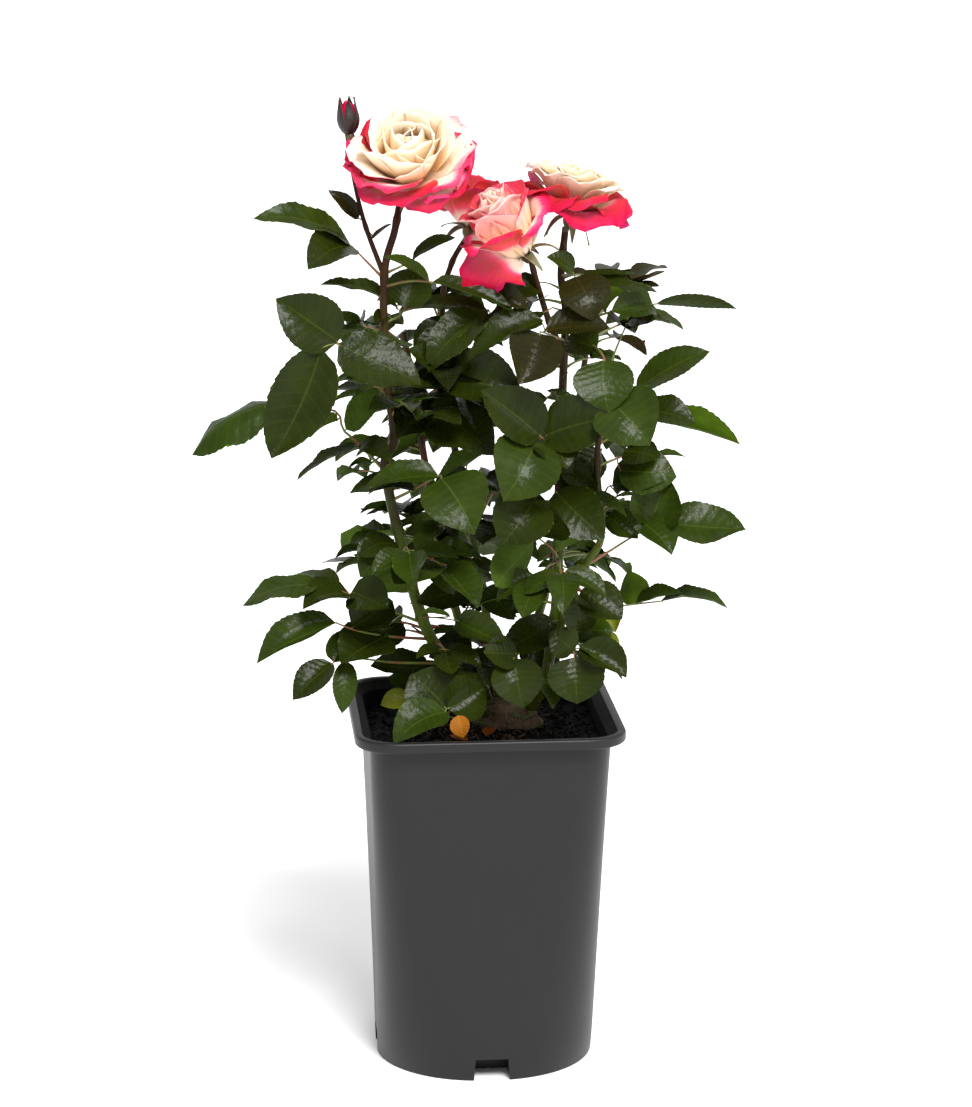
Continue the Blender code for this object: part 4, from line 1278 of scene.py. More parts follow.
def placed_leaves():
    """Each placed leaf as the points of its stalk and its leaflets, which are base, tip, width, facing,
    tint and fold, in metres. A facing is upright, turned by the lean towards the front."""
    leaves = []
    for line in PLACED_LEAVES.strip().splitlines():
        if ":" in line:
            limb, height, *stalk = line.replace(":", " ").replace(",", " ").split()
            start = at_height(routes[limb][0], float(height) * MM)
            leaves.append((np.vstack([start, np.array(stalk, float).reshape(-1, 3) * MM]), []))
            continue
        for leaflet in line.split(";"):
            words = leaflet.split()
            words += ("deep", OWN_FOLD)[len(words) - 8 :]
            sizes, lean = np.array(words[:7], float) * MM, math.radians(float(words[7]))
            facing = np.array([0.0, -math.sin(lean), math.cos(lean)])
            leaves[-1][1].append((sizes[:3], sizes[3:6], sizes[6], facing, words[8], float(words[9])))
    return leaves


hand_made_leaves = placed_leaves()
print("leaves placed by hand:", len(hand_made_leaves))

# %% [markdown]
# ## Leaves that fill the crown
# The rest of the crown grows by a rule. Every region of it has a limb, a height on that limb, a
# heading, a reach and a breadth, the same as in the solid model. A few leaves spring from the limb
# there, fan out across the breadth, rise and then droop, and carry one or two pairs of leaflets and
# one at the end. The seeded numbers change each leaf a little, so no two are alike.

# %% Regions of the crown
# Tints named shade are painted shade, for leaves inside the crown.
REGIONS = {  # limb, height, heading, reach, rise, breadth, depth, leaves, tints
    "left_high": ("cane_left", 522, 120, 56, 0, 62, 50, 1, "deep"),
    "left_broad": ("cane_left", 474, 122, 50, 4, 66, 60, 2, "deep"),
    "left_waist": ("cane_left", 422, 118, 50, 4, 60, 50, 2, "deep shade"),
    "left_low": ("cane_left", 332, 140, 70, 0, 74, 60, 2, "deep mid"),
    "left_rim": ("cane_left", 304, 165, 60, -4, 64, 50, 2, "deep"),
    "neck_right": ("cane_right", 530, 205, 60, -14, 66, 52, 1, "deep shade"),
    "heart_high": ("cane_middle", 482, 268, 72, -2, 96, 56, 3, "deep mid shade"),
    "heart_low": ("cane_middle", 392, 272, 66, -2, 100, 62, 4, "deep mid shade"),
    "front_left": ("cane_left", 452, 297, 62, -4, 76, 58, 2, "deep mid"),
    "front_right": ("cane_right", 436, 256, 60, -4, 80, 62, 1, "deep mid"),
    "front_low_left": ("cane_left", 362, 290, 96, -2, 76, 60, 2, "deep mid fresh"),
    "front_low_right": ("cane_right", 366, 262, 92, -2, 80, 60, 2, "deep mid fresh"),
    "foot_left": ("cane_left", 300, 300, 66, 2, 76, 52, 2, "deep mid"),
    "foot_right": ("cane_right", 292, 285, 56, -2, 88, 54, 2, "deep mid"),
    "right_high": ("cane_right", 493, 62, 54, 4, 70, 58, 2, "deep"),
    "right_mid": ("cane_far_right", 442, 66, 50, 0, 72, 54, 2, "deep mid"),
    "right_low": ("cane_far_right", 390, 60, 52, 0, 72, 58, 2, "deep"),
    "right_foot": ("cane_right", 336, 52, 54, 0, 64, 46, 2, "deep mid"),
    "right_rim": ("cane_right", 296, 12, 56, -4, 62, 46, 2, "deep"),
    "back_crown_left": ("cane_back_left", 496, 128, 74, 16, 88, 60, 4, "mid deep"),
    "back_crown_right": ("cane_back_right", 500, 48, 72, 16, 88, 60, 4, "bronze mid"),
    "back_neck": ("cane_middle", 512, 92, 86, 6, 78, 56, 4, "deep mid"),
    "back_heart": ("cane_middle", 440, 96, 118, 2, 84, 60, 5, "deep mid"),
    "back_low": ("cane_middle", 360, 94, 122, 0, 90, 62, 5, "deep mid fresh"),
    "back_left": ("cane_back_left", 428, 132, 78, 2, 80, 62, 4, "mid deep"),
    "back_right": ("cane_back_right", 430, 48, 76, 2, 80, 62, 4, "mid deep"),
    "back_left_low": ("cane_back_left", 346, 128, 82, -2, 84, 62, 4, "deep fresh"),
    "back_right_low": ("cane_back_right", 350, 48, 78, -2, 84, 62, 4, "deep mid"),
    "back_foot": ("cane_back_left", 292, 88, 66, -6, 100, 46, 4, "shade deep"),
}
# The solid model's other regions, where the leaves placed one by one are enough
HAND_PLACED_REGIONS = ("left_top", "left_tip", "neck_left", "foot_front", "right_top")
FAN_BREADTH, FAN_REACH = 0.36, 0.7  # leaves fan out to this part of the breadth at that of the reach
STALK_SHARES = (0.0, 0.12, 0.24)  # parts of the way to the leaf's end
PAIR_SHARES = (0.34, 0.52)
HUB_SHARE = 0.58
PAIR_ANGLE = math.radians(62)
END_LEAFLET, SIDE_LEAFLET = 0.50, 0.43  # parts of the reach
LEAFLET_PLUMPNESS = (0.60, 0.74)
LONGEST_LEAFLET, LONGEST_SIDE_LEAFLET = 0.058, 0.0493
STEMLET_LENGTH = 0.0025
UP = np.array([0, 0, 1])


def turned(way, angle):
    """A direction turned about the upright by an angle."""
    cosine, sine = math.cos(angle), math.sin(angle)
    return np.array([way[0] * cosine - way[1] * sine, way[0] * sine + way[1] * cosine, way[2]])


def grow_leaf(region, order, rng):
    """The stalk's points, and the leaflets as base, tip, width, facing, tint and fold. At a share s of
    the way the leaf has risen by 0.42 s (1.15 - s) of its reach and drooped with s². Its leaflets
    point along it, or to both sides of it."""
    limb, height, heading, reach, rise, breadth, depth, leaves, tints = REGIONS[region]
    spread = (order + 0.5) / leaves * 2 - 1 + rng.uniform(-0.2, 0.2)
    heading = math.radians(heading) + spread * math.atan2(breadth * FAN_BREADTH, reach * FAN_REACH)
    way = np.array([math.cos(heading), math.sin(heading), 0.0])
    lift = rng.uniform(-0.32, 0.32) * depth
    start = at_height(routes[limb][0], (height + 0.5 * lift) * MM)
    reach = reach * MM * rng.uniform(0.86, 0.98)
    end = way * reach + UP * (rise + lift) * MM
    droop = rng.uniform(0.02, 0.14) * reach

    def place(share):
        return start + end * share + UP * (0.42 * share * (1.15 - share) * reach - droop * share**2)

    stalk = np.array([place(share) for share in (*STALK_SHARES, *PAIR_SHARES, HUB_SHARE)])
    tint_name = rng.choice(tints.split())
    lean = rng.uniform(0.1, 0.75)
    facing = way * lean + UP + rng.uniform(-0.2, 0.2, 3)
    ahead = unit(place(1.0) - place(HUB_SHARE))
    length = min(END_LEAFLET * reach, LONGEST_LEAFLET)
    plump = rng.uniform(*LEAFLET_PLUMPNESS)
    found = [(stalk[-1], stalk[-1] + ahead * length, length * plump, facing, tint_name, OWN_FOLD)]
    for share in PAIR_SHARES[rng.integers(0, 2):]:
        for turn in (-PAIR_ANGLE, PAIR_ANGLE):
            side = turned(unit(place(share + 0.1) - place(share)), turn * rng.uniform(0.8, 1.15))
            side = unit(side + UP * rng.uniform(-0.35, 0.15))
            base = place(share) + side * STEMLET_LENGTH
            size = min(SIDE_LEAFLET * reach, LONGEST_SIDE_LEAFLET) * rng.uniform(0.85, 1.1)
            leaning = facing + 0.25 * side
            found.append((base, base + side * size, size * plump, leaning, tint_name, OWN_FOLD))
    return stalk, found


def grow_crown():
    """All stalks and all leaflets."""
    leaves = list(hand_made_leaves)
    for region, numbers in REGIONS.items():
        rng = seeded(region)
        leaves += [grow_leaf(region, order, rng) for order in range(numbers[-2])]
    return [stalk for stalk, _ in leaves], [blade for _, found in leaves for blade in found]


stalks, blades = grow_crown()
print("leaf stalks:", len(stalks), "leaflets:", len(blades))

# %% [markdown]
# ## Stalks of the leaves
# A leaf stalk is a thin green rod, thicker where it clasps the cane, with a short stemlet to each
# leaflet. All are walked smoothly through their points and joined in one piece, as tubes with five
# sides. Every leaflet finds the nearest point of any stalk, so stemlets need no list of their own.

# %% Stalks
STALK_SIDES = 5
STALK_STEP, STEMLET_STEP = 0.006, 0.003
STALK_FOOT, STALK_TIP = 0.0013, 0.0006
STEMLET_RADIUS, STEMLET_INTO_BLADE = 0.0005, 0.002
STALK_REFERENCE, STEMLET_REFERENCE = (0.31, 0.84, 0.44), (0.2, 0.5, 0.84)  # hardly any run this way


def join_tubes(name, tubes, materials):
    """One piece from many tubes of the same number of sides, each closed by flat ends."""
    points, walls, ends, first = [], [], [], 0
    for rings in tubes:
        sides = rings.shape[1]
        points.append(rings.reshape(-1, 3))
        walls.append(tube_faces(len(rings), sides, first))
        ends.append(end_faces(len(rings), sides, first))
        first += rings.shape[0] * sides
    return make_piece(name, np.vstack(points), [np.vstack(walls), np.vstack(ends)], materials)


def build_stalks(finish):
    """Tapered stalks, and a short stemlet from the nearest point of a stalk to each leaflet."""
    walked = [walk(stalk, STALK_STEP) for stalk in stalks]
    tubes = []
    for route in walked:
        share = np.linspace(0, 1, len(route))
        radius = STALK_TIP + (STALK_FOOT - STALK_TIP) * (1 - share) ** 1.5
        tubes.append(round_tube(route, radius, STALK_SIDES, STALK_REFERENCE))
    everywhere = np.vstack(walked)
    for base, tip, *_ in blades:
        start = everywhere[np.argmin(((everywhere - base) ** 2).sum(1))]
        stop = base + unit(tip - base) * STEMLET_INTO_BLADE
        route = walk([start, (start + base) / 2, stop], STEMLET_STEP)
        tubes.append(round_tube(route, np.full(len(route), STEMLET_RADIUS), STALK_SIDES, STEMLET_REFERENCE))
    return join_tubes("leaf_stalks", tubes, [finish])


def stalk_finish():
    """Yellow green with red on it, as young rose stalks are."""
    finish = Finish("leaf_stalk_skin", 0.46)
    flush = finish.between(finish.noise(finish.object_place(), 38.0, 2.0), 0.42, 0.64)
    finish.colour(finish.blend(flush, tint("5f6b2b"), tint("774828")))
    return finish.material


place_piece(build_stalks(stalk_finish()), "foliage")

# %% [markdown]
# ## Leaf skins
# The upper skin of a rose leaf is dark and glossy, and sinks a little along its veins, so it looks
# quilted. The lower skin is dull and pale, and its veins stand out. Veins leave the midrib forwards
# at regular places, so along lines where the distance from the base minus a part of the distance
# from the midrib is a whole number. Each tint of leaf has one material for above and one for below.

# %% Leaf skins
SKINS = {  # upper, upper vein, lower, roughness above
    # The shade tint is painted shade: a darker copy of the deep leaf for leaves inside the crown.
    "shade": ("161d03", "222b0b", "2c3a12", 0.30),
    "deep": ("212a06", "333d0f", "3a4c15", 0.27),
    "mid": ("29360a", "3d4a14", "415417", 0.28),
    "fresh": ("30410a", "465a17", "475e10", 0.32),
    "pale": ("344411", "4e5f24", "41541b", 0.36),
    "bronze": ("222208", "372a11", "40371b", 0.28),
    "yellow": ("636818", "7a782b", "6f6f28", 0.42),
    "dry": ("91560a", "a0712e", "85521a", 0.50),
    # The lit tint is painted light: a brighter, greener copy of the deep leaf for two leaflets that light
    # shines through.
    "lit": ("263505", "384a10", "405809", 0.30),
}
VEIN_PAIRS = 8.0
VEIN_SLANT = 2.6
VEIN_DEPTH = 0.00007
QUILT_HEIGHT, PEBBLE_HEIGHT = -3.2, 5.0  # in vein depths
DARK_BLOTCH, MIDRIB_SHARE, LOWER_ROUGHNESS = 0.72, 0.6, 0.55


def vein_lines(finish):
    """How near the side veins are and how near the midrib is, from 0 to 1, and the ridge between the
    side veins, which is |fraction(8 along - 2.6 aside) - 1/2|."""
    across, along = finish.surface_place("blade")
    aside = finish.aside(across)
    phase = finish.math("MULTIPLY_ADD", aside, -VEIN_SLANT, finish.math("MULTIPLY", along, VEIN_PAIRS))
    ridge = finish.math("ABSOLUTE", finish.math("SUBTRACT", finish.math("FRACT", phase), 0.5))
    return finish.between(ridge, 0.36, 0.50), finish.between(aside, 0.026, 0.008), ridge


def leaf_skin(name, body, vein, roughness, gloss, vein_share=0.16):
    """A leaf's skin: blotches from noise, paler veins, a quilted relief, and its own gloss. The gloss
    is 1 above, where the veins sink, and -1 below, where they stand out."""
    finish = Finish(name, roughness, Specular_IOR_Level=0.10 if gloss > 0 else 0.05)
    veins, midrib, ridge = vein_lines(finish)
    place = finish.object_place()
    blotch = finish.between(finish.noise(place, 60.0, 3.0), 0.30, 0.70)
    body, vein = tint(body), tint(vein)
    dark = tuple(part * DARK_BLOTCH for part in body[:3]) + (1.0,)
    base = finish.blend(veins, finish.blend(blotch, dark, body), vein, vein_share)
    finish.colour(finish.blend(midrib, base, vein, MIDRIB_SHARE))
    finish.rough(finish.noise(place, 90.0, 2.0), roughness - 0.08, roughness + 0.06)
    pebbles = finish.noise(place, 330.0, 3.0)
    quilt = finish.math("MULTIPLY", ridge, QUILT_HEIGHT * gloss)
    finish.relief(finish.math("MULTIPLY_ADD", pebbles, PEBBLE_HEIGHT, quilt), VEIN_DEPTH)
    return finish.material


def build_leaves():
    """One piece for each tint of leaf, with its seeded shapes."""
    made = []
    for number, (name, (upper, vein, lower, roughness)) in enumerate(SKINS.items()):
        *shape, _, fold = zip(*[blade for blade in blades if blade[4] == name])
        numbers = (np.array(each) for each in (*shape, fold))
        points = leaflet_points(*numbers, np.random.default_rng(70 + number))
        skins = [leaf_skin(name + "_leaf_above", upper, vein, roughness, 1.0),
                 leaf_skin(name + "_leaf_below", lower, vein, LOWER_ROUGHNESS, -1.0)]
        made.append(join_leaflets(name + "_leaves", points, skins))
    return made


leaf_pieces = build_leaves()
for piece in leaf_pieces:
    place_piece(piece, "foliage")
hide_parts(*[region + "_spray" for region in (*REGIONS, *HAND_PLACED_REGIONS)])

# %% [markdown]
# ## Fallen leaflets
# A few old leaflets lie on the compost, turned brown, with the red scales of young shoots. They are
# blades like all the others, only placed flat: each is given by where it lies, which way it points,
# its length and its width.

# %% Fallen leaflets
FALLEN = {  # place across and back, heading in degrees, length and width, all in millimetres
    "dry": [(2, -20, 60, 12, 9), (-10, -28, 160, 14, 7), (34, -48, 20, 9, 6), (-36, 40, 200, 18, 11)],
    "red": [(23, 22, 20, 9, 4), (18, 14, 150, 8, 3), (28, 30, 70, 7, 3)],
}
FALLEN_SKINS = {"dry": ("793f0c", "98692c", "6b3f1a", 0.6), "red": ("8a102e", "a5364b", "771028", 0.45)}
FALLEN_LIFT, TIP_LIFT = 0.0016, 0.0040
FALLEN_FACING = (0.0, -0.3, 1.0)
FALLEN_FOLD = 12.0
FALLEN_VEIN_SHARE = 0.3


def build_fallen(name):
    """Leaflets lying on the compost, with their tips a little raised."""
    across, back, heading, length, width = np.array(FALLEN[name], float).T
    base = np.stack([across, back, 0 * across], -1) * MM
    way = np.stack([np.cos(np.radians(heading)), np.sin(np.radians(heading)), 0 * heading], -1)
    tip = base + way * (length * MM)[:, None]
    base[:, 2] = compost_height(base) + FALLEN_LIFT
    tip[:, 2] = compost_height(tip) + TIP_LIFT
    facing, fold = np.tile(FALLEN_FACING, (len(base), 1)), np.full(len(base), FALLEN_FOLD)
    points = leaflet_points(base, tip, width * MM, facing, fold, np.random.default_rng(90))
    upper, vein, lower, roughness = FALLEN_SKINS[name]
    skins = [leaf_skin("fallen_" + name + "_above", upper, vein, roughness, 1.0, FALLEN_VEIN_SHARE),
             leaf_skin("fallen_" + name + "_below", lower, vein, roughness, -1.0, FALLEN_VEIN_SHARE)]
    place_piece(join_leaflets("fallen_" + name + "_leaves", points, skins), "foliage")


for name in FALLEN:
    build_fallen(name)

# %% [markdown]
# ## One petal
# A petal is a thin curved sheet. Down its middle runs a spine that leaves the flower's axis, rises and
# may roll outwards; across it, the sheet bends towards the axis like a spoon. So a petal is a spine
# whose slope changes along it, with an arc of a circle laid across it at every place. The slope is 90
# degrees along the flower's axis, 0 straight outwards, and below 0 where the petal hangs down.

# %% Petal sheets
PETAL_COLUMNS, PETAL_ROWS = 14, 11
PETAL_THICKNESS = 0.00032
PETAL_FIELDS = ("turn", "length", "width", "root", "level", "slope_low", "slope_mid", "slope_tip", "cup_low",
                "cup_tip", "corner", "ruffle", "roll", "overlap", "pointed", "flush", "back", "amber_and_painted_glow")
SLOPES = slice(5, 8)
SLOPE_PLACES = (0, 0.55, 1)  # the places along the spine where the three slopes hold
SPINE_STEPS = 60


def rise(value, low, high):
    """A smooth step: 0 below low, 1 above high, 3t² - 2t³ between them."""
    t = np.clip((value - low) / (high - low), 0, 1)
    return t * t * (3 - 2 * t)


def petal_frame(facing):
    """The flower's axis, its lowest or foremost direction, and its right, seen from the front."""
    axis = unit(np.asarray(facing, float))
    front = np.array([0.0, -1.0, 0.0])
    front = unit(front - (front @ axis) * axis)
    return axis, front, np.cross(axis, front)


def summed(steps):
    """The running integral of each row, from 0, over even steps that cover a length of one."""
    return np.concatenate([np.zeros((len(steps), 1)), np.cumsum(steps, 1) / SPINE_STEPS], 1)


def petal_spines(petals, share):
    """Outward, up and slope at each share of each petal's length. In the plane of the axis and the
    spine, outward is the integral of cos(slope) and up is the integral of sin(slope)."""
    fine = np.linspace(0, 1, SPINE_STEPS + 1)
    slope = np.stack([np.interp(fine, SLOPE_PLACES, np.radians(petal[SLOPES])) for petal in petals])
    tables = (summed(np.cos(slope[:, :-1])), summed(np.sin(slope[:, :-1])), slope)
    return (np.stack([np.interp(share[k].ravel(), fine, table[k]).reshape(share[k].shape)
                      for k in range(len(petals))]) for table in tables)


def half_width(v, width, pointed):
    """Half the width along a petal: a quarter of a sine wave for a round one, a lance for a sepal."""
    broad = 0.30 + 0.70 * np.sin(np.clip(v / 0.72, 0, 1) * math.pi / 2)
    lance = (0.45 + 0.55 * rise(v, 0, 0.25)) * (1 - v) ** 0.75
    return width * MM / 2 * (broad + (lance - broad) * pointed)


def petal_surface(centre, facing, petals, rng):
    """Middle surfaces of many petals, their coordinates u across and v along, and their fields. Across
    the spine lies an arc of radius R, the cup: R sin(u w / R) sideways and R (1 - cos(u w / R))
    inwards. Ruffles add waves there that grow towards the rim, and the roll bends it back."""
    axis, front, right = petal_frame(facing)
    field = {name: petals[:, k, None, None] for k, name in enumerate(PETAL_FIELDS)}
    u = np.linspace(-1, 1, PETAL_COLUMNS + 1)[None, None, :]
    v = np.linspace(0, 1, PETAL_ROWS + 1)[None, :, None]
    phase = rng.uniform(0, TURN, (len(petals), 1, 1))
    beat = rng.uniform(1.1, 1.9, (len(petals), 1, 1))
    ruffle = field["ruffle"]
    share = v * (1 - field["corner"] * np.abs(u) ** 2.8 * rise(v, 0.1, 1.0))
    share = share * (1 - 0.016 * ruffle * (1 + np.sin(TURN * beat * u - phase)) * v**4)
    out, up, tilt = petal_spines(petals, share)
    out = (field["root"] + out * field["length"]) * MM
    up = (field["level"] + up * field["length"]) * MM
    half = half_width(v, field["width"], field["pointed"])
    cup = (field["cup_low"] + (field["cup_tip"] - field["cup_low"]) * v) * MM
    angle = u * half / cup
    sideways, inwards = cup * np.sin(angle), cup * (1 - np.cos(angle))
    inwards = inwards + ruffle * MM * np.sin(TURN * beat * u / 1.3 + phase) * v**3
    inwards = inwards + 0.4 * ruffle * MM * np.sin(2.7 * TURN * u + 2 * phase) * v**6
    curl = rise(v, 0.72, 1.05) ** 2 + 0.7 * np.abs(u) ** 3 * rise(v, 0.35, 1.0)
    inwards = inwards - field["roll"] * MM * curl
    inwards = inwards + field["overlap"] * u * half
    out = out - np.sin(tilt) * inwards
    up = up + np.cos(tilt) * inwards
    turn = np.radians(field["turn"])[..., None]
    away = np.cos(turn) * front + np.sin(turn) * right
    aside = -np.sin(turn) * front + np.cos(turn) * right
    middle = (np.asarray(centre) * MM + out[..., None] * away + sideways[..., None] * aside
              + up[..., None] * axis)
    return middle, u + 0 * v, v + 0 * u, field


def sheet_normals(grid):
    """Unit normals of a grid of points: the cross product of its two directions."""
    return unit(np.cross(np.gradient(grid, axis=1), np.gradient(grid, axis=2)))


# %% [markdown]
# ## Colour of a petal
# These roses are cream inside and crimson outside. On the inner side the crimson only bleeds in from
# the rim, through pink; on the back it covers the petal down to a cream foot. Deep in the flower the
# cream turns amber: partly the petals' own warmer foot, and partly a painted glow that stands for light
# passing through the petals into the shaded depths. Each petal's point carries two numbers for this,
# the flush and the amber share, worked out from its place on the petal, and a colour ramp in the
# material reads them.

# %% Joining petals
def petal_colours(u, v, field, rng):
    """Flush on the front and on the back, and the amber share, which is partly painted glow. The front's
    flush starts near the rim, at a distance given by the petal; the back's starts above its foot."""
    wander = rng.uniform(0, TURN, (len(field["turn"]), 1, 1))
    rim = v + 0.22 * np.abs(u) ** 3 * rise(v, 0.2, 0.8) + 0.03 * np.sin(5 * u + wander)
    front = np.minimum(field["flush"] * rise(rim, 0.98 - 0.42 * field["flush"], 1.06), 1.0)
    back = np.minimum(field["back"] * (0.35 + 0.65 * rise(rim, 0.20, 0.75)) * rise(rim, 0.05, 0.35), 1.0)
    # Amber strongest at the petal's foot: partly its own colour, partly painted glow of light through the
    # petals into the shaded depths.
    amber_glow_share = 1.6 * field["amber_and_painted_glow"] * (1 - 0.88 * rise(v, 0.25, 1.0))
    return front, back, amber_glow_share


def petal_faces(rows, columns):
    """The faces of one petal, front sheet, back sheet and rim, and the finish of each."""
    flat = rows * columns
    row, column = (a.ravel() for a in np.meshgrid(np.arange(rows - 1), np.arange(columns - 1), indexing="ij"))
    here = row * columns + column
    sheet = np.stack([here, here + 1, here + columns + 1, here + columns], -1)
    edge = np.concatenate([np.arange(columns), columns * np.arange(2, rows + 1) - 1,
                           flat - 2 - np.arange(columns - 1), columns * np.arange(rows - 2, 0, -1)])
    following = np.roll(edge, -1)
    rim = np.stack([edge, following, following + flat, edge + flat], -1)
    finishes = np.repeat((0, 1), [len(sheet), len(sheet) + len(rim)])
    return np.concatenate([sheet[:, ::-1], sheet + flat, rim]), finishes


def join_petals(name, middle, u, v, colours, materials):
    """One piece from petals: a front and a back sheet for each, joined round the rim. A chequerboard
    map gives each sheet its own square, as for the leaflets."""
    count, rows, columns = middle.shape[:3]
    flat = rows * columns
    lift = sheet_normals(middle) * PETAL_THICKNESS / 2
    points = np.concatenate([(middle + way * lift).reshape(count, flat, 3) for way in (1, -1)], 1)
    faces, finishes = petal_faces(rows, columns)
    places = np.stack([u[0].ravel() / 2 + 0.5, v[0].ravel()], -1)
    places = np.concatenate([places, places])[faces]
    squares = math.ceil(math.sqrt(2 * count))
    square = 2 * np.arange(count)[:, None] + finishes
    corner = np.stack([square % squares, square // squares], -1)[:, :, None]
    board = (corner + CELL_MARGIN + (1 - 2 * CELL_MARGIN) * places[None]) / squares
    maps = {"petal": np.broadcast_to(places, (count, *places.shape)).reshape(-1, 2),
            "OFBake": board.reshape(-1, 2)}
    front, back, amber_glow_share = (colour.reshape(count, flat) for colour in colours)
    values = {"flush": np.stack([front, back], 1), "amber_and_painted_glow": np.stack([amber_glow_share, amber_glow_share], 1)}
    return make_piece(name, points.reshape(-1, 3), [repeat_faces(faces, count, 2 * flat)], materials,
                      [np.tile(finishes, count)], maps, values)


# %% Petal skins
PETAL_RAMP = ((0.0, "fff8e0"), (0.16, "ffead4"), (0.34, "ffb8b4"), (0.54, "f03a72"), (0.76, "de0044"),
              (1.0, "b0002c"))
# Amber for the depths of the flower: the petals' own warmer foot, with painted glow of light through them.
AMBER = "ffb44a"
STREAKS_ACROSS = 14.0
STREAK_CONTRAST = 0.55
LIGHT_DEPTH = 0.005  # how far light travels inside a petal
LIGHT_SPREAD = (0.8, 0.8, 0.8)


def petal_skin(name, roughness, thinness):
    """A ramp over flush, with amber blended in by the amber share, and fine lengthwise streaks in both.
    The amber is partly the petals' own colour and partly painted glow in the shaded depths. Thin petals
    let light through, which the shader's subsurface gives."""
    finish = Finish(name, roughness, Specular_IOR_Level=0.04, Subsurface_Weight=thinness,
                    Subsurface_Scale=LIGHT_DEPTH, Subsurface_Radius=LIGHT_SPREAD)
    across, along = finish.surface_place("petal")
    stretched = finish.math("MULTIPLY", across, STREAKS_ACROSS)
    place = finish.node("ShaderNodeCombineXYZ", {0: stretched, 1: along}).outputs[0]
    streak = finish.noise(place, 2.2, 3.0, 0.6)
    flush = finish.node("ShaderNodeAttribute", attribute_name="flush").outputs["Fac"]
    amber_and_painted_glow = finish.node("ShaderNodeAttribute", attribute_name="amber_and_painted_glow").outputs["Fac"]
    strength = finish.math("MULTIPLY", flush, STREAK_CONTRAST)
    shift = finish.math("MULTIPLY", finish.math("SUBTRACT", streak, 0.5), strength)
    body = finish.ramp(finish.math("ADD", flush, shift), PETAL_RAMP)
    # The amber blend is partly painted glow, standing for light that passes through the petals.
    glow = finish.math("MULTIPLY", amber_and_painted_glow, finish.math("MULTIPLY_ADD", streak, 0.6, 0.50))
    finish.colour(finish.blend(glow, body, tint(AMBER)))
    finish.relief(streak, 0.00025, 0.6)
    return finish.material


# %% [markdown]
# ## The flowers
# A rose opens ring by ring. The outer petals lie back, the next ones make a bowl, and the innermost
# stand up and close over the middle. Each ring is a row of numbers, and its petals are dealt evenly
# round the axis with a little seeded change, each ring starting at a turn of its own.
# Single petals that stand out, such as one that hangs down in front, are rows of their own.

# %% Rings of petals
# The most that each field of a petal changes: so much is added, or such a share of it.
PETAL_CHANGES = (("turn", 9, 0), ("length", 0, 0.063), ("width", 0, 0.09), ("slope_low", 4, 0),
                 ("slope_mid", 6, 0), ("slope_tip", 10, 0), ("flush", 0, 0.35))


def ring(count, start, length, width, root, level, slopes, cups, flush, back, amber_and_painted_glow, ruffle, roll,
         corner=0.30, overlap=0.16, pointed=0):
    """The petals of one ring, by their fields."""
    return [(start + 360.0 * k / count, length, width, root, level, *slopes, *cups, corner, ruffle, roll,
             overlap, pointed, flush, back, amber_and_painted_glow) for k in range(count)]


def vary_petals(petals, rng):
    """Seeded change to each petal's turn, length, width, slopes and flush."""
    petals = np.array(petals, float)
    change = rng.uniform(-1, 1, (len(petals), len(PETAL_CHANGES)))
    for (field, added, share), amount in zip(PETAL_CHANGES, change.T):
        column = petals[:, PETAL_FIELDS.index(field)]
        column += added * amount
        column *= 1 + share * amount
    return petals


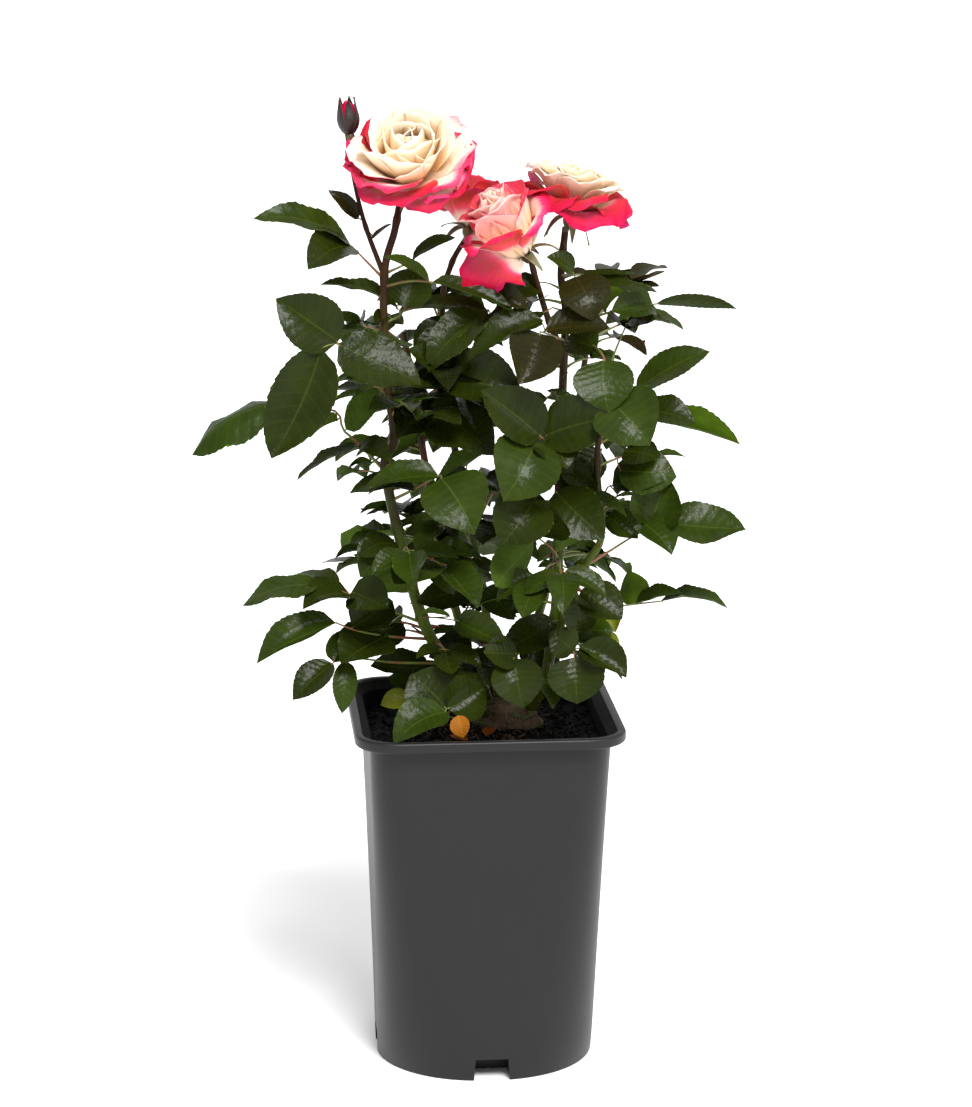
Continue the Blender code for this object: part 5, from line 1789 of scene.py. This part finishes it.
FLOWERS = {
    "bloom_left": dict(centre=(-50, -20, 644), facing=(-0.06, -0.6, 0.8), limb="cane_left", petals=(
        ring(5, -100, 46, 60, 4, -26, (24, 30, 6), (24, 60), 1.5, 1.6, 0.1, 2, 3.5, corner=0.42)
        + ring(2, 60, 47, 60, 4, -26, (26, 36, 12), (24, 60), 0.95, 1.5, 0.1, 2, 2.5)
        + ring(3, -48, 49, 58, 4, -25, (30, 46, 28), (22, 48), 0.95, 1.4, 0.2, 2, 3)
        + ring(2, 95, 49, 56, 4, -25, (32, 50, 34), (22, 48), 0.45, 0.8, 0.2, 2, 2.4)
        + ring(4, 50, 50, 64, 4, -24, (36, 66, 76), (22, 34), 0.24, 0.12, 0.5, 1.2, 1.4, corner=0.28)
        + ring(4, 5, 46, 58, 3, -23, (44, 80, 96), (18, 26), 0.06, 0.04, 0.7, 1.2, 1, corner=0.24)
        + ring(3, 40, 42, 52, 3, -22, (54, 90, 108), (14, 20), 0.03, 0.02, 0.8, 1, 0.8, corner=0.22)
        + ring(3, -15, 37, 42, 2, -20, (64, 96, 118), (10, 14), 0, 0, 0.9, 1, 0.4, corner=0.2)
        + ring(3, 45, 31, 30, 1, -19, (76, 98, 130), (6, 8), 0, 0, 0.9, 0.8, 0.2, corner=0.2)
        + ring(3, 100, 26, 20, 0, -18, (84, 100, 132), (4, 5), 0, 0, 1, 0.4, 0.1, corner=0.2))),
    "bloom_centre": dict(centre=(17, -24, 593), facing=(-0.5, -0.25, 0.83), limb="centre_bloom_bough",
                         petals=(
        ring(1, -60, 43, 46, 5, -22, (26, -8, -60), (30, 90), 3.2, 1.6, 0.05, 4.4, 1, 0.56, -0.7)
        + ring(1, -118, 42, 44, 5, -20, (40, 40, 0), (22, 50), 0.85, 1, 0.1, 2, 3)
        + ring(1, 62, 40, 50, 5, -21, (44, 60, 14), (18, 36), 0.85, 1.2, 0.1, 2, 5)
        + ring(2, 130, 40, 50, 5, -20, (44, 56, 10), (22, 44), 0.8, 1.2, 0.1, 2, 3.5)
        + ring(4, 10, 50, 56, 4, -22, (60, 80, 62), (19, 24), 0.95, 0.34, 0.25, 1.4, 4)
        + ring(4, -30, 51, 50, 3, -22, (68, 88, 80), (15, 18), 0.8, 0.3, 0.4, 1.2, 2.4)
        + ring(4, 25, 50, 40, 2, -21, (76, 92, 96), (11, 13), 0.45, 0.28, 0.5, 0.8, 1.2)
        + ring(3, 0, 47, 30, 1, -20, (80, 94, 104), (7, 9), 0.25, 0.15, 0.5, 0.6, 0.6)
        + ring(2, 50, 44, 20, 0, -18, (84, 94, 108), (4, 5), 0.2, 0.1, 0.4, 0.3, 0.3))),
    "bloom_right": dict(centre=(64, 8, 617), facing=(0.2, -0.03, 0.98), limb="cane_right", petals=(
        ring(5, -54, 42, 58, 4, -21, (34, -2, -50), (26, 60), 2.6, 1.8, 0.05, 2.4, 3, corner=0.38)
        + ring(5, -8, 43, 54, 4, -21, (46, 14, -30), (20, 50), 2, 1.6, 0.1, 2.4, 2.5)
        + ring(6, 20, 46, 50, 3, -20, (54, 46, 14), (17, 36), 0.3, 0.16, 0.3, 2.2, 1.8)
        + ring(6, 0, 43, 42, 3, -20, (62, 62, 36), (13, 28), 0.08, 0.06, 0.4, 2, 1.2)
        + ring(5, 30, 38, 30, 2, -18, (76, 86, 78), (10, 16), 0.03, 0.03, 0.5, 1.6, 0.8)
        + ring(5, 0, 34, 22, 1, -17, (80, 92, 102), (7, 10), 0, 0, 0.6, 1.2, 0.3))),
    "bloom_back": dict(centre=(-7, 26, 602), facing=(0.15, 0.45, 0.88), limb="cane_middle", petals=(
        ring(5, 10, 34, 38, 3, -17, (44, 46, 12), (14, 30), 0.85, 1.2, 0.1, 1.4, 2.5)
        + ring(5, 46, 34, 34, 3, -16, (56, 68, 50), (12, 20), 0.7, 1.1, 0.2, 1.2, 1.6)
        + ring(5, 0, 32, 28, 2, -15, (66, 84, 80), (9, 13), 0.5, 0.7, 0.4, 1, 1)
        + ring(4, 30, 29, 20, 1, -14, (76, 92, 104), (6, 8), 0.3, 0.5, 0.5, 0.8, 0.4))),
    "bud": dict(centre=(-92, 8, 665), facing=(-0.1, 0.02, 1.0), limb="bud_bough", petals=(
        ring(3, 20, 21, 24, 2, -12, (40, 98, 118), (6.4, 5), 1.2, 1.9, 0, 0.3, 0.2, 0.45, 0.1)
        + ring(3, 80, 20, 16, 0, -10, (64, 98, 112), (4.2, 3.4), 1, 1.5, 0, 0.2, 0.1, 0.45, 0.1))),
}


def build_flowers():
    """One piece for each flower. All of its petals are varied, shaped and coloured together."""
    skins = [petal_skin("petal_inner_skin", 0.48, 0.5), petal_skin("petal_outer_skin", 0.42, 0.35)]
    for number, (name, flower) in enumerate(FLOWERS.items()):
        rng = np.random.default_rng(300 + number)
        petals = vary_petals(flower["petals"], rng)
        middle, u, v, field = petal_surface(flower["centre"], flower["facing"], petals, rng)
        colours = petal_colours(u, v, field, rng)
        place_piece(join_petals("petals_of_" + name, middle, u, v, colours, skins), "petals", name)


build_flowers()

# %% [markdown]
# ## Hips and sepals
# Under every flower sits a small green hip, from which five narrow sepals spring. They clasp the bud
# and bend back once the flower is open. A sepal is made like a petal, only pointed; a hip is a
# stretched ball; and a short neck carries the hip on from the end of its limb.

# %% Hips, necks and sepals
HIP_RADIUS, BUD_HIP_RADIUS = 0.0042, 0.0034
HIP_HALF_LENGTH = 0.0052
HIP_SUNK = 0.002  # into the foot of the flower
NECK_STEP = 0.0012
NECK_SHARE = 0.96  # of the limb's tip, so that the neck stays inside its bark
SEPAL_SLOPES = {"bloom_left": (10, -30, -50), "bloom_centre": (0, -46, -66), "bloom_right": (-10, -50, -74),
                "bloom_back": (10, -30, -50), "bud": (36, 104, 94)}
OPEN_SEPAL, BUD_SEPAL = (24, 8.5, (6.0, 10.0), 1), (28, 15.5, (7.2, 6.6), 0)  # length, width, cups, bends
SEPAL_BEND = 14  # the most that a bending sepal's slopes change
SEPAL_ROOT = 2.4


def lowest_ring(flower):
    """The lowest level at which a petal of the flower springs, in millimetres."""
    return min(petal[PETAL_FIELDS.index("level")] for petal in flower["petals"])


def sepals(name, level, rng):
    """Five pointed sepals of a flower, each with a little seeded change. They have no crimson."""
    length, width, cups, bends = BUD_SEPAL if name == "bud" else OPEN_SEPAL
    rows = []
    for k in range(5):
        slopes = [slope + bends * rng.uniform(-SEPAL_BEND, SEPAL_BEND) for slope in SEPAL_SLOPES[name]]
        size = length * rng.uniform(0.86, 1.0)
        rows += ring(1, 72 * k + 16, size, width, SEPAL_ROOT, level, slopes, cups, flush=0, back=0,
                     amber_and_painted_glow=0, ruffle=0.5, roll=0, corner=0, overlap=0, pointed=1)
    return np.array(rows)


def sepal_skin(name, body, streaked, edge):
    """Streaked lengthwise between two tints, with a paler rim."""
    finish = Finish(name, 0.5)
    across, _ = finish.surface_place("petal")
    streak = finish.noise(finish.object_place((1.0, 1.0, 0.4)), 220.0, 3.0)
    base = finish.blend(streak, tint(body), tint(streaked))
    finish.colour(finish.blend(finish.between(finish.aside(across), 0.40, 0.49), base, tint(edge)))
    finish.relief(streak, 0.0003, 0.6)
    return finish.material


def build_sepals(piece_name, flower_names, skins):
    """The sepals of some flowers, as one piece."""
    middles = []
    for number, name in enumerate(flower_names):
        flower = FLOWERS[name]
        rng = np.random.default_rng(500 + number)
        rows = sepals(name, lowest_ring(flower) - 1, rng)
        middle, u, v, _ = petal_surface(flower["centre"], flower["facing"], rows, rng)
        middles.append(middle)
    middle = np.concatenate(middles)
    plain = [np.zeros(middle.shape[:3])] * 3
    place_piece(join_petals(piece_name, middle, u, v, plain, skins), "foliage")


def hip_rings(name, flower):
    """Rings from the end of the limb to the hip's top: the radius swells as a sine over the hip."""
    axis = petal_frame(flower["facing"])[0]
    top = np.asarray(flower["centre"]) * MM + axis * (lowest_ring(flower) * MM + HIP_SUNK)
    route, _, tip = routes[flower["limb"]]
    foot = top - axis * HIP_HALF_LENGTH * 2
    middle = top - axis * HIP_HALF_LENGTH
    path = walk([route[-6], route[-3], (route[-1] + foot) / 2, foot, middle, top], NECK_STEP)
    left = travelled_along(path)
    left = left[-1] - left
    swell = np.sin(np.clip(left / (2 * HIP_HALF_LENGTH), 0, 1) * math.pi) ** 0.8
    full, neck = (BUD_HIP_RADIUS if name == "bud" else HIP_RADIUS), tip * NECK_SHARE
    return round_tube(path, neck + (full - neck) * swell, CANE_SIDES)


hip_skin = mottled("hip_skin", 0.42, ("404620", "5b3520"), 240.0, relief=(0.0003, 0.5))
open_blooms = [name for name in FLOWERS if name != "bud"]
build_sepals("sepals", open_blooms, [sepal_skin("sepal_inner_skin", "77855d", "5b3224", "a09c79"),
                                     sepal_skin("sepal_outer_skin", "353f1e", "5b3224", "85774f")])
build_sepals("bud_sepals", ["bud"], [sepal_skin("bud_sepal_inner_skin", "3f3124", "311513", "5b4836"),
                                     sepal_skin("bud_sepal_outer_skin", "1c0808", "150b08", "311a13")])
place_piece(join_tubes("hips", [hip_rings(*item) for item in FLOWERS.items()], [hip_skin]), "foliage")
